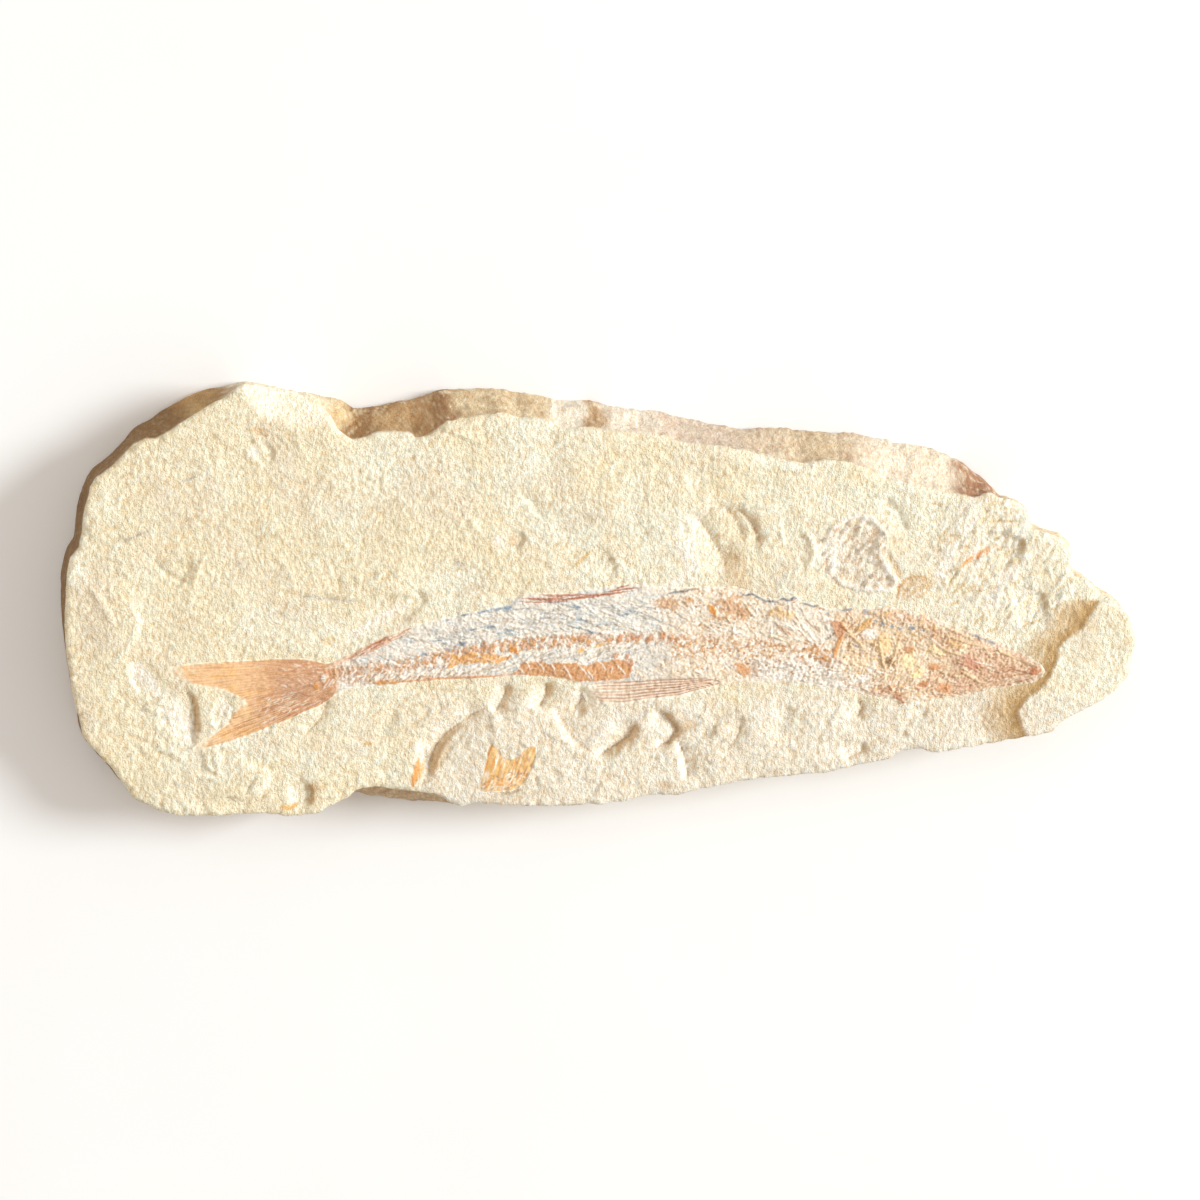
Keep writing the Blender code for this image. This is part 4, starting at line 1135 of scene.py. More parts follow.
# Lines drawn: dark seams, rust streaks and the longer bones.
SLATE_LINES = (
    ((666, 594.5), (674, 592), (683, 591.5), (694, 589.5)),
    ((739, 591.5), (746, 595.5), (753, 594), (759, 597), (766, 601), (774, 601.5), (780, 602)),
    ((778, 601), (784, 598.5), (790, 600.5), (795, 597), (800, 600)),
    ((802, 603), (809, 604.5), (815, 606.5), (822, 605)),
)
GREY_LINES = (
    ((467, 632), (480, 628), (487, 626)),
    ((540, 602), (556, 602.5), (572, 600)),
    ((558, 622), (572, 626.5), (584, 629), (614, 638)),
    ((520, 622), (532, 624), (540, 625.5)),
    ((504, 611), (530, 608), (552, 611)),
    ((612, 606), (640, 612), (668, 624), (690, 634)),
)
RUST_STREAKS = (
    ((517, 601.5), (535, 602), (556, 601.5), (575, 600)),
    ((530, 600), (552, 600), (580, 598), (600, 596.5)),
    ((522, 598), (545, 598.8), (566, 597.5)),
    ((548, 596.6), (575, 595.6), (602, 593)),
    ((540, 594.8), (560, 595), (584, 593.6)),
    ((566, 599), (592, 595.4), (616, 592.4), (634, 590.2)),
    ((590, 596.6), (608, 594.4), (622, 592.8)),
    ((604, 592.2), (620, 589.4), (642, 587)),
    ((616, 588.6), (624, 586), (630, 585.4)),
)
WHITE_BONES = (
    ((706, 621), (722, 627), (742, 633), (756, 641)),
    ((716, 622), (740, 627), (762, 632), (784, 640), (802, 648)),
    ((700, 619), (712, 628), (722, 637)),
    ((768, 615), (782, 626), (792, 637)),
    ((796, 612), (803, 625), (812, 634), (820, 644)),
    ((741, 598), (748, 606), (754, 616)),
    ((824, 617), (830, 630), (836, 640)),
    ((758, 634), (776, 637), (792, 644)),
    ((800, 680), (818, 684), (840, 687), (862, 689)),
    ((806, 676), (826, 681), (846, 684)),
    ((862, 690), (874, 684), (886, 678)),
    ((918, 642), (931, 649), (944, 656)),
    ((934, 639), (944, 646)),
    ((964, 666), (974, 674), (983, 682)),
    ((976, 662), (990, 665), (1001, 668)),
    ((880, 605), (876, 616), (872, 625)),
    ((894, 634), (898, 645), (893, 656)),
    ((908, 690), (918, 688), (930, 690)),
)
TAN_BONES = (
    ((846, 627), (856, 638), (866, 648)),
    ((842, 622), (850, 632)),
    ((866, 640), (880, 646), (890, 650)),
    ((940, 645), (952, 652), (966, 656)),
    ((953, 637), (968, 642), (984, 647)),
    ((945, 626), (962, 633), (980, 642)),
    ((881, 640), (884, 655), (888, 672)),
    ((892, 668), (898, 655), (902, 640)),
    ((965, 672), (985, 684)),
    ((1000, 650), (1020, 659), (1043, 668)),
)
RUST_BONES = (
    ((926, 621), (934, 627), (943, 637)),
    ((929, 624), (936, 631)),
    ((849, 630), (856, 624), (862, 619)),
    ((857, 622), (850, 614), (844, 610)),
    ((896, 697), (904, 702), (911, 706)),
    ((881, 697), (888, 692), (892, 686)),
    ((862, 689), (872, 693), (882, 697)),
    ((878, 684), (886, 676), (890, 668)),
    ((955, 687), (965, 688), (978, 687)),
    ((957, 694), (968, 697)),
    ((960, 662), (972, 668), (986, 675)),
    ((1004, 680), (1022, 676), (1043, 673)),
    ((1000, 672), (1020, 671), (1040, 674)),
    ((1014, 655), (1030, 662), (1044, 669)),
    ((990, 682), (1002, 674), (1012, 664)),
    ((1005, 688), (1026, 682), (1040, 678)),
    ((928, 690), (934, 684), (942, 680)),
)


def body_frame(x, y):
    """How far along the row of scutes a point is, and how far above it, in squares."""
    return line_distance(x, y, MIDLINE)[1], course(x, MIDLINE) - y


def granules(skin, cover, size, mix, seed, rise=0.2):
    """Small grains of bone packed side by side. The mix says what share takes which colour."""
    u = (skin.x + 0.5 * skin.wander_x) / size
    v = (skin.y + 0.5 * skin.wander_y) / (0.85 * size)
    near, second, number = cells(u, v, seed)
    body = cover * smooth((second - near) * 4 + 0.2)
    floor = 0.0
    for share, colour in mix:
        skin.tint(colour, 0.9 * body * ((number >= floor) & (number < floor + share)))
        floor += share
    skin.relief += rise * cover * (0.5 - near) + rise * body * (number - 0.5)


def zone(skin, left, right, blur=6.0):
    """1 between two places along the drawing grid and 0 outside them."""
    bent = skin.x + 2.5 * skin.mottle
    return smooth((bent - left) / blur + 0.5) * smooth((right - bent) / blur + 0.5)


def strip(skin, line, edge, width):
    """1 along a line across the drawing grid, fading out over so many squares above and below it."""
    return smooth(edge - np.abs(skin.y - course(skin.x, line)) / width)


def paint_body(skin, within):
    """The body's ground: blue-grey and white at the back, warmer towards the head."""
    x, y = skin.x, skin.y
    body = smooth(within / 0.5 + 0.5) * smooth((x - 334) / 8)
    belly = course(x, PELVIC_TOP)
    body *= 1 - smooth((y - belly - 0.8) / 1.6) * smooth((x - 574) / 5) * smooth((726 - x) / 5)
    front = smooth((x - 640) / 60)
    skin.tint(paint(238, 235, 226), body)
    skin.tint(paint(238, 227, 208), body * front * 0.85)
    stain = fractal(x / 13, y / 5.5, 511, 3)
    skin.tint(BLUE_GREY, body * (1 - 0.8 * front) * 0.75 * smooth(0.15 + 2.2 * stain))
    speckle = perlin(x / 2.3, y / 2.0, 512) + 0.6 * perlin(x / 1.2, y / 1.2, 513)
    skin.tint(WHITE_BONE, body * (0.85 - 0.3 * front) * smooth(speckle * 2.2))
    skin.tint(TAN, body * (0.22 + 0.45 * front) * smooth(-speckle * 2.4 - 0.1))
    skin.relief += body * 0.24 * speckle
    patchy = smooth(0.6 + 2.0 * fractal(x / 16, y / 9, 515, 2))
    granules(skin, body * front * patchy, 2.7, FRONT_MIX, 516)
    granules(skin, 0.6 * body * (1 - front) * (1 - patchy), 2.4, BACK_MIX, 517, 0.12)


def paint_tail(skin, within):
    """The tail's fan, thin as a film, and the attribute its rays are drawn from."""
    x, y = skin.x, skin.y
    left = smooth((341 - x) / 10 + 0.3 * skin.mottle)
    fork = smooth(1.5 - np.hypot(x - 232, y - 706) / 26)
    left *= smooth(within / (0.35 + 1.1 * fork) + 0.6 - 0.4 * fork + 0.8 * fork * skin.mottle)
    left *= smooth((x - 172 - 20 * smooth((y - 700) / 20)) / 30 + 0.5 * skin.mottle)
    base = smooth((x - 238 + 14 * skin.mottle) / 60)
    skin.tint(paint(241, 201, 157), left)
    skin.tint(paint(240, 196, 140), left * smooth(0.2 + 2 * fractal(x / 22, y / 10, 521, 2)))
    skin.tint(paint(213, 160, 124), left * base * 0.9)
    core = smooth(1.2 - oval(x, -y, 300, -690, 34, 20, 20)[0] + 0.8 * skin.mottle)
    skin.tint(PINK_BROWN, left * core * 0.8)
    away = TAIL_APEX[0] - x
    fall = (y - TAIL_APEX[1]) / np.maximum(away, 1)
    share = (fall - TAIL_TURNS[0]) / (TAIL_TURNS[1] - TAIL_TURNS[0])
    rays = share * TAIL_RAYS + 0.22 * perlin(x / 30, y / 12, 522)
    fleck = perlin(away / 5.5, rays * 0.9, 523) + 0.5 * perlin(away / 2.2, rays * 1.4, 524)
    skin.tint(paint(246, 222, 196), left * (0.15 + 0.45 * base) * smooth(fleck * 2.6 - 0.3))
    skin.tint(BROWN, left * (0.15 + 0.4 * base) * smooth(-fleck * 2.6 - 0.3))
    streak = perlin(away / 26, rays * 1.7, 525) + 0.6 * perlin(away / 9, rays * 2.6, 526)
    lower = smooth((y - 690) / 20)
    skin.tint(paint(188, 130, 92), left * (0.35 + 0.45 * lower) * smooth(streak * 3.0 - 0.3))
    skin.tint(paint(246, 212, 168), left * (0.35 + 0.35 * lower) * smooth(-streak * 3.0 - 0.3))
    skin.relief += left * (0.07 * fleck - 0.10 * streak)
    return rays, left


def paint_pelvic_fin(skin):
    """The long fin under the body, in pale rays with dark gaps. Gives how far it covers each point."""
    x, y = skin.x, skin.y
    top = course(x, PELVIC_TOP)
    share = (y - top) / np.maximum(course(x, PELVIC_FOOT) - top, 1)
    cover = smooth((share + 0.02) * 9) * smooth((1.02 - share) * 9)
    cover *= smooth((x - 584 + 10 * skin.mottle) / 24)
    cover *= smooth((724 - x) / 5)
    dark = smooth((x - 612 + 8 * skin.mottle) / 60)
    skin.tint(paint(228, 196, 168), cover * (0.7 + 0.15 * dark))
    line = np.abs((share * PELVIC_RAYS + 0.30 * perlin(x / 26, y / 4, 531)) % 1 - 0.5) * 2
    broken = smooth(0.9 + 1.6 * perlin(x / 12, share * PELVIC_RAYS, 532))
    ray = smooth((0.55 - line) / 0.5) * broken
    skin.tint(paint(142, 90, 68), cover * ray * (0.45 + 0.5 * dark))
    skin.tint(WHITE_BONE, cover * smooth((line - 0.6) / 0.3) * 0.75 * broken)
    skin.tint(BROWN, cover * 0.5 * dark * smooth(2.4 * perlin(x / 14, share * 5, 533) - 0.4))
    skin.relief += cover * 0.20 * (ray - 0.5)
    return cover


def paint_scutes(skin, within):
    """The row of spiky scutes along the flank, leaning forward, with white bone in the gaps."""
    x, y = skin.x, skin.y
    along, across = body_frame(x, y)
    reach = course(x, SCUTE_REACH)
    strength = course(x, SCUTE_STRENGTH, left=0, right=0) * smooth(within / 0.5)
    beat = (along - SCUTE_LEAN * across + 3.4 * perlin(x / 9, y / 7, 541)) / SCUTE_PITCH
    saw = np.abs(beat % 1 - 0.5) * 2
    height = np.abs(across + 1.5 * perlin(along / 7, across / 20, 542)) / reach
    blade = smooth((1.02 - saw - 0.85 * height**1.5 + 0.8 * perlin(x / 2.2, y / 2.2, 543)) / 0.28)
    gap = smooth((saw - 0.5) / 0.3) * smooth((1.25 - height) * 2.5)
    own = 0.65 + 0.6 * lattice(np.floor(beat), np.floor(beat) * 0, 545)
    blade *= np.clip(own + 0.5 * perlin(x / 5, y / 4, 544), 0, 1)
    splinters = cells(x / 3.6 + 0.4 * perlin(x / 4, y / 4, 547), (y + 0.35 * x) / 2.8, 546)
    crack = smooth(1.2 - (splinters[1] - splinters[0]) / 0.13)
    skin.tint(WHITE_BONE, 0.75 * gap * strength * smooth(splinters[2] * 3 - 0.3))
    skin.tint(paint(186, 136, 96), 0.9 * blade * strength)
    skin.tint(ORANGE, 0.85 * blade * strength * smooth(splinters[2] * 5 - 2.2))
    skin.tint(PINK, 0.75 * blade * strength * smooth(1.6 - splinters[2] * 7))
    skin.tint(WHITE_BONE, 0.55 * crack * strength * smooth(1.3 - height))
    skin.relief += strength * (0.30 * blade + 0.14 * gap + 0.12 * (splinters[2] - 0.5) - 0.08 * crack)
    packed = 0.75 * strength * smooth((1.2 - height) * 3) * smooth(0.9 + 2 * skin.mottle)
    granules(skin, packed, 4.2, ROW_MIX, 548, 0.3)


def paint_fish_marks(skin):
    """Bones, scales and stains of the body, from the tail to the shoulder."""
    white, cream, tan, grey, sand = WHITE_BONE, CREAM_BONE, TAN, DUST_GREY, SAND
    back = (white, white, white, BLUE_GREY, grey, grey, sand)
    skin.hairs(BACK_ZONE, 420, -14, 26, 5, 22, 0.58, 0.30, back, 1)
    skin.hairs(FRONT_ZONE, 170, -34, 44, 4, 18, 0.55, 0.34, (white, white, white, cream, grey, sand), 2)
    skin.hairs(BAND_ZONE, 110, 24, 10, 8, 24, 0.60, 0.26, (white, white, grey, grey, sand), 3)
    skin.hairs(LOW_ZONE, 110, -40, 40, 3, 12, 0.55, 0.2, (white, white, cream, grey, sand, tan), 4)
    skin.patch(THROAT_ZONE, paint(238, 235, 228), 0.75, 0.0, 5.0, 0.8)
    skin.patch(SHOULDER_ZONE, paint(240, 236, 226), 0.6, 0.0, 6.0, 0.9)
    throat = zone(skin, 752, 892) * strip(skin, ((752, 667), (885, 679)), 1.5, 11)
    granules(skin, throat, 2.6, THROAT_MIX, 518, 0.26)
    skin.hairs(THROAT_ZONE, 60, -14, 18, 5, 18, 0.50, 0.24, (white, white, white, grey, sand), 5)
    skin.hairs(SHOULDER_ZONE, 60, -48, 16, 5, 18, 0.60, 0.24, (white, white, grey, cream, BROWN), 19)
    for step, line in enumerate(RUST_STREAKS):
        skin.stroke(line, 0.55 + 0.15 * (step % 3), (RUST, paint(178, 112, 80))[step % 2], 0.9, 0.10, 0.8)
    skin.patch(BACK_BAND, paint(232, 200, 172), 0.75, 0.10, 2.4, 0.9)
    band = (BROWN, PINK, RUST, PINK, white, cream)
    skin.hairs(BACK_BAND, 110, 27, 4, 10, 28, 0.42, 0.12, band, 6)
    skin.patch(ORANGE_BAR, paint(234, 180, 116), 0.92, 0.16, 1.2, 1.2)
    skin.hairs(ORANGE_BAR, 60, 40, 60, 2, 7, 0.55, 0.16, (BROWN, ORANGE_PALE, OCHRE, WHITE_BONE), 16)
    skin.spots(ROW_SPOTS)
    tail_flecks = (PINK, PINK, CREAM_BONE, BROWN, PINK_BROWN, WHITE_BONE)
    skin.hairs(TAIL_TOP, 90, -12, 26, 3, 9, 0.42, 0.12, tail_flecks, 7)
    skin.hairs(TAIL_FOOT, 130, 24, 20, 3, 11, 0.42, 0.12, tail_flecks, 8)
    skin.patch(LOWER_STRIP, paint(216, 162, 114), 0.95, 0.10, 1.2, 0.9)
    flakes = (ORANGE_PALE, BROWN, ORANGE, PINK, tan, PINK_BROWN)
    skin.hairs(LOWER_STRIP, 230, 35, 80, 2, 6, 0.6, 0.12, flakes, 17)
    for x0, y0, x1, y1 in STRIP_TICKS:
        bend = ((x0 + x1) / 2 + 0.6, (y0 + y1) / 2 - 0.6)
        skin.stroke(((x0, y0), bend, (x1, y1)), 0.7, WHITE_BONE, 0.9, 0.16)
    skin.stroke(BELLY_LINE, 1.2, paint(220, 160, 116), 0.9, 0.10)
    skin.stroke(((374, 684), (388, 682.8), (404, 681.6)), 2.6, ORANGE, 0.9, 0.08, 1.4)
    chance = np.random.default_rng(9)
    for step in range(17):
        x0 = 347 + 6.6 * step + 4 * chance.random()
        y0 = 685.5 - 0.062 * (x0 - 350) - 2 * chance.random()
        run, rise = 5 + 9 * chance.random(), 4 + 6 * chance.random()
        leaf = ((x0, y0), (x0 + 0.4 * run, y0 - 0.75 * rise), (x0 + run, y0 - rise))
        skin.stroke(leaf, 0.6 + 0.9 * chance.random(), (WHITE_BONE, CREAM_BONE)[step % 2], 0.85, 0.30)
        skin.stroke(((x0 + 5, y0 - 1), (x0 + 5 + run, y0 - rise)), 0.5, (BROWN, ORANGE)[step % 2], 0.7, 0.05)
    skin.hairs(ROW_UNDER_SCUTES, 70, 36, 24, 4, 12, 0.5, 0.2, (white, cream, tan, grey, BROWN, ORANGE), 18)
    for step in range(7):
        x0 = 322 + 4.4 * step
        ray = ((x0, 690 - 2.2 * step), (x0 + 7, 680 - 1.6 * step), (x0 + 3, 670 - step))
        skin.stroke(ray, 0.8, (ORANGE, BROWN)[step % 2], 0.6, 0.18)
        skin.stroke(((x0 + 2, 690 - 2.2 * step), (x0 + 9, 680 - 1.6 * step)), 0.8, WHITE_BONE, 0.8, 0.20)
    skin.spots(SCUTE_SPOTS, paint(208, 150, 112), 0.8, 0.2, 1.6)
    skin.spots(BACK_STAINS, paint(214, 172, 132), 0.8, 0.12, 2.2)
    skin.spots(FRONT_SPOTS)
    flecks = perlin(skin.x / 2.8, skin.y / 2.6, 551) + 0.5 * perlin(skin.x / 1.5, skin.y / 1.5, 552)
    row = strip(skin, ((680, 645), (830, 654)), 1.3, 14) * zone(skin, 672, 840)
    granules(skin, row * smooth(0.7 + skin.mottle), 3.0, ROW_MIX, 553, 0.26)
    bars = zone(skin, 634, 742) * strip(skin, ((634, 674), (742, 674)), 1.2, 7)
    skin.tint(TAN, 0.6 * bars * smooth(flecks * 3 - 0.4))


def paint_head(skin):
    """The crushed bones of the head and the snout."""
    skin.patch(HEAD_ZONE, paint(232, 212, 184), 0.85, 0.0, 6.0, 0.8)
    skin.patch(UPPER_SNOUT, paint(227, 194, 166), 0.8, 0.05, 6.0, 1.0)
    skin.patch(LOWER_SNOUT, paint(224, 190, 162), 0.9, 0.05, 4.0, 0.8)
    skin.spots(HEAD_STAINS)
    mosaic = perlin(skin.x / 2.6, skin.y / 2.2, 571) + 0.6 * perlin(skin.x / 1.3, skin.y / 1.3, 572)
    head = zone(skin, 842, 1046)
    snout = smooth((skin.x + 6 * skin.mottle - 945) / 24)
    skin.tint(PINK_BROWN, (0.25 + 0.3 * snout) * head * smooth(-mosaic * 2.6 - 0.1))
    skin.tint(CREAM_BONE, (0.7 - 0.2 * snout) * head * smooth(mosaic * 2.6 - 0.1))
    skin.relief += 0.22 * head * mosaic
    granules(skin, 0.75 * head * (1 - snout) * smooth(0.6 + 2 * skin.mottle), 3.6, HEAD_MIX, 573, 0.24)
    granules(skin, 0.8 * head * snout * smooth(0.8 + 2 * skin.mottle), 2.4, SNOUT_MIX, 574, 0.16)
    bones = (WHITE_BONE, CREAM_BONE, CREAM_BONE, TAN, TAN, PINK_BROWN, BROWN, OCHRE)
    skin.hairs(HEAD_ZONE, 260, -35, 60, 3, 12, 0.52, 0.32, bones, 11)
    skin.hairs(HEAD_ZONE, 180, 60, 40, 3, 11, 0.52, 0.32, bones, 12)
    flecks = (PINK, PINK, PINK_BROWN, BROWN, CREAM_BONE, CREAM_BONE, TAN)
    skin.hairs(UPPER_SNOUT, 230, -24, 36, 3, 12, 0.55, 0.24, flecks, 13)
    skin.hairs(LOWER_SNOUT, 230, 14, 36, 3, 12, 0.55, 0.24, flecks, 14)
    skin.spots(HEAD_SPOTS, 0.85, 0.10, 1.2)
    skin.strokes(TAN_BONES, 1.2, paint(234, 210, 172), 0.85, 0.40)
    skin.strokes(RUST_BONES, 0.65, paint(190, 132, 102), 0.65, 0.14)
    skin.stroke(((858, 632), (865, 626), (872, 621), (877, 618)), 2.7, paint(234, 194, 134), 0.9, 0.40)
    skin.stroke(((860, 635), (867, 629), (875, 623)), 0.7, BROWN, 0.6, 0.0)
    skin.stroke(((845.5, 633), (841, 643), (838, 652), (836, 658)), 2.1, paint(230, 172, 112), 0.9, 0.35)
    skin.stroke(((850, 636), (846, 646), (843, 657)), 1.5, paint(250, 240, 218), 0.7, 0.2)
    skin.stroke(((828, 640), (834, 636), (837, 632)), 1.2, paint(150, 140, 130), 0.8, 0.0)
    skin.patch(((832, 620), (845, 622), (848, 632), (842, 640), (836, 634)), paint(210, 152, 110), 0.8, 0.2)


def paint_blue(skin):
    """Blue-grey films and dark seams, with the longest white bones over them."""
    for cx, cy, length, width, turn in BLUE_SPOTS:
        skin.spot(cx, cy, length, width, turn, BLUE, 0.55, 0.04, 2.4)
        skin.spot(cx + 1, cy, 0.6 * length, 0.6 * width, turn, SLATE, 0.5, 0.0, 1.6)
    skin.strokes(SLATE_LINES, 1.0, paint(112, 124, 138), 0.85, 0.05, 1.6)
    skin.strokes(GREY_LINES, 0.5, paint(146, 154, 162), 0.7, 0.05, 1.2)
    for left, right, line, size, seed, bare in (
        (738, 806, ((740, 592), (806, 602)), 2.0, 561, 0.9),
        (872, 930, ((872, 620), (930, 632)), 1.8, 562, 0.8),
    ):
        dust = zone(skin, left, right, 4) * strip(skin, line, 2.2, 3)
        skin.tint(SLATE, 0.7 * dust * smooth(4 * perlin(skin.x / size, skin.y / 1.6, seed) - bare))
    for step, line in enumerate(WHITE_BONES):
        skin.stroke(line, 0.45 + 0.12 * (step % 3), (WHITE_BONE, CREAM_BONE)[step % 2], 0.75, 0.22)


def fish_surface(x, y, within):
    """Height, colours, tail ray count and how strongly the rays show, for the fish's points."""
    grain = stone_grain(x, y)
    skin = Skin(x, y, stone_colours(x, y, grain))
    paint_body(skin, within)
    paint_scutes(skin, within)
    rays, tail = paint_tail(skin, within)
    fin = paint_pelvic_fin(skin)
    paint_fish_marks(skin)
    paint_head(skin)
    paint_blue(skin)
    body = smooth((skin.x - 334) / 20) * (1 - fin)
    swell = body * BONE_SWELL * (1 - np.exp(-np.clip(within, 0, None) / 2.4))
    calm = 1 - smooth(within / 0.6 + 0.3) * (0.45 + 0.35 * tail)
    sunk = 0.55 * smooth(-(within + 0.35) / 0.7)
    height = stone_height(x, y, grain * calm, 1 - 0.9 * tail) + BONE_LIFT + swell + skin.relief - sunk
    worn = 0.25 + 1.1 * smooth(0.4 + 1.8 * fractal(skin.x / 16, skin.y / 7, 527, 2))
    film = tail * worn * (0.55 + 0.45 * smooth((skin.y - 684) / 14))
    return height, skin.colour, {"rays": rays, "film": film}


# The scrap's dark foot, and the two arms above it.
SCRAP_FOOT = ((482, 780), (527, 772), (520, 792), (484, 796))
SCRAP_ARMS = ((490, 749), (503, 760), (527, 756), (537, 750), (532, 774), (524, 788), (484, 788))


def scrap_surface(x, y, within):
    """The same for the scrap of bone, which has no rays."""
    grain = stone_grain(x, y)
    skin = Skin(x, y, stone_colours(x, y, grain))
    cover = smooth(within / 0.45 + 0.5 + 0.3 * skin.mottle)
    skin.tint(paint(234, 202, 148), cover)
    slant = skin.x + 0.3 * skin.y
    stain = fractal(slant / 5, skin.y / 18, 561, 2)
    skin.tint(paint(226, 160, 88), cover * 0.8 * smooth(0.1 + 2.4 * stain))
    for new, size, seed, bare in ((WHITE_BONE, 2.2, 562, 0.4), (BROWN, 1.8, 565, 0.5)):
        skin.tint(new, cover * 0.8 * smooth(2.6 * perlin(slant / size, skin.y / 14, seed) - bare))
    foot = smooth((skin.y - 774 + 5 * skin.mottle) / 16) * cover
    splinters = (WHITE_BONE, paint(158, 140, 120), paint(146, 134, 122), ORANGE_BRIGHT, CREAM_BONE, BROWN)
    skin.hairs(SCRAP_FOOT, 60, 20, 70, 3, 10, 0.5, 0.1, splinters, 26)
    skin.hairs(SCRAP_ARMS, 46, 72, 14, 6, 22, 0.5, 0.1, (BROWN, ORANGE_BRIGHT, OCHRE, WHITE_BONE, OCHRE), 27)
    skin.tint(CREAM_BONE, 0.5 * foot * smooth(2.5 * perlin(skin.x / 3.4, skin.y / 2.6, 563)))
    lean = skin.x + 0.3 * (skin.y - 770)
    fibres = perlin(lean / 1.6, skin.y / 16, 564)
    skin.relief += cover * 0.16 * fibres
    swell = SCRAP_SWELL * (1 - np.exp(-np.clip(within, 0, None) / 1.2))
    lift = SCRAP_LIFT + swell - 0.5 * smooth(-(within + 0.3) / 0.5)
    height = stone_height(x, y, grain * (1 - 0.5 * cover), 1 - cover) + lift + skin.relief
    nothing = np.zeros(len(x))
    return height, skin.colour, {"rays": nothing, "film": nothing}


def bone_piece(name, loop, step, reach, surface):
    """A bone: its surface, a wall down to the pocket's floor, and the underside."""
    x, y, quads, rim = patch(loop, step, reach)
    within = signed_distance(x, y, loop)
    height, colour, values = surface(x, y, within)
    top = np.stack([x, y, height], axis=1)
    foot = np.column_stack([x[rim], y[rim], np.full(len(rim), BONE_FLOOR)])
    walls, ring = bands(1, rim, len(top))
    colours = np.concatenate([colour, colour[rim]])
    values = {key: np.concatenate([value, value[rim]]) for key, value in values.items()}
    return build(name, np.concatenate([top, foot]), np.concatenate([quads, walls]), ring, colours, values)


# ---- materials ----------------------------------------------------------------------------------
class Nodes:
    """A short way to write a node tree: each call adds a node and links what it is given."""

    def __init__(self, name):
        self.material = bpy.data.materials.new(name)
        self.material.use_nodes = True
        self.tree = self.material.node_tree
        self.shader = self.tree.nodes["Principled BSDF"]

    def link(self, source, socket):
        self.tree.links.new(source, socket)

    def add(self, kind, inputs=None, **settings):
        node = self.tree.nodes.new(kind)
        for key, value in settings.items():
            setattr(node, key, value)
        for key, value in (inputs or {}).items():
            if isinstance(value, bpy.types.NodeSocket):
                self.link(value, node.inputs[key])
            else:
                node.inputs[key].default_value = value
        return node

    def noise(self, place, scale, detail, roughness):
        return self.add(
            "ShaderNodeTexNoise", {"Vector": place, "Scale": scale, "Detail": detail, "Roughness": roughness}
        ).outputs["Fac"]

    def remap(self, value, low, high, to_low, to_high):
        return self.add(
            "ShaderNodeMapRange",
            {"Value": value, "From Min": low, "From Max": high, "To Min": to_low, "To Max": to_high},
        ).outputs["Result"]

    def math(self, operation, first, second):
        return self.add("ShaderNodeMath", {0: first, 1: second}, operation=operation).outputs[0]


def mineral(name, grain_depth, speckle, rough, stretch, low, high, film=False):
    """A dry mineral surface: its painted tint, broken up by fine speckle, with a fine grain whose
    pits take the tint times low as painted shade, and its tops the tint times high as painted highlight.

    A film shows the tail's rays as pale lines in it."""
    nodes = Nodes(name)
    tint = nodes.add("ShaderNodeAttribute", attribute_name="tint").outputs["Color"]
    place = nodes.add("ShaderNodeTexCoord").outputs["Object"]
    drawn = nodes.add("ShaderNodeMapping", {"Vector": place, "Rotation": (0.0, 0.0, 0.32), "Scale": stretch})
    grain = nodes.noise(drawn.outputs["Vector"], 1150.0, 3.0, 0.55)
    grit = nodes.noise(place, 2600.0, 2.0, 0.6)
    dust = nodes.noise(place, 420.0, 3.0, 0.6)
    shade = nodes.math(
        "MULTIPLY",
        nodes.remap(grit, 0.3, 0.7, 1 - speckle, 1 + speckle),
        nodes.remap(dust, 0.3, 0.7, 1 - 0.5 * speckle, 1 + 0.5 * speckle),
    )
    height = nodes.math("ADD", nodes.math("MULTIPLY", grit, 0.45), grain)
    # Painted shade in the grain's pits, painted highlight on its tops.
    pit_shade_top_highlight = nodes.add("ShaderNodeMix", {0: nodes.remap(grain, 0.36, 0.62, 0.0, 1.0)}, data_type="RGBA")
    pit_shade_top_highlight.inputs["A"].default_value = (*low, 1.0)
    pit_shade_top_highlight.inputs["B"].default_value = (*high, 1.0)
    shaded = {0: tint, 1: pit_shade_top_highlight.outputs["Result"]}
    tint = nodes.add("ShaderNodeVectorMath", shaded, operation="MULTIPLY").outputs[0]
    if film:
        rays = nodes.add("ShaderNodeAttribute", attribute_name="rays").outputs["Fac"]
        cover = nodes.add("ShaderNodeAttribute", attribute_name="film").outputs["Fac"]
        wave = nodes.math("SINE", nodes.math("MULTIPLY", rays, 2 * math.pi), 0.0)
        finer = nodes.math("SINE", nodes.math("MULTIPLY", rays, 6 * math.pi), 0.0)
        both = nodes.math("ADD", wave, nodes.math("MULTIPLY", finer, 0.5))
        line = nodes.math("MULTIPLY", nodes.math("MULTIPLY", both, grain), cover)
        shade = nodes.math("MULTIPLY", shade, nodes.remap(line, -1.0, 1.0, 0.80, 1.18))
        height = nodes.math("ADD", height, nodes.math("MULTIPLY", line, 0.35))
    colour = nodes.add("ShaderNodeVectorMath", {0: tint}, operation="MULTIPLY")
    nodes.link(shade, colour.inputs[1])
    nodes.link(colour.outputs[0], nodes.shader.inputs["Base Color"])
    nodes.link(nodes.remap(dust, 0.3, 0.7, *rough), nodes.shader.inputs["Roughness"])
    nodes.shader.inputs["Specular IOR Level"].default_value = 0.2
    bump = nodes.add(
        "ShaderNodeBump", {"Height": height, "Distance": grain_depth * MM, "Strength": 1.0}
    ).outputs["Normal"]
    nodes.link(bump, nodes.shader.inputs["Normal"])
    return nodes.material


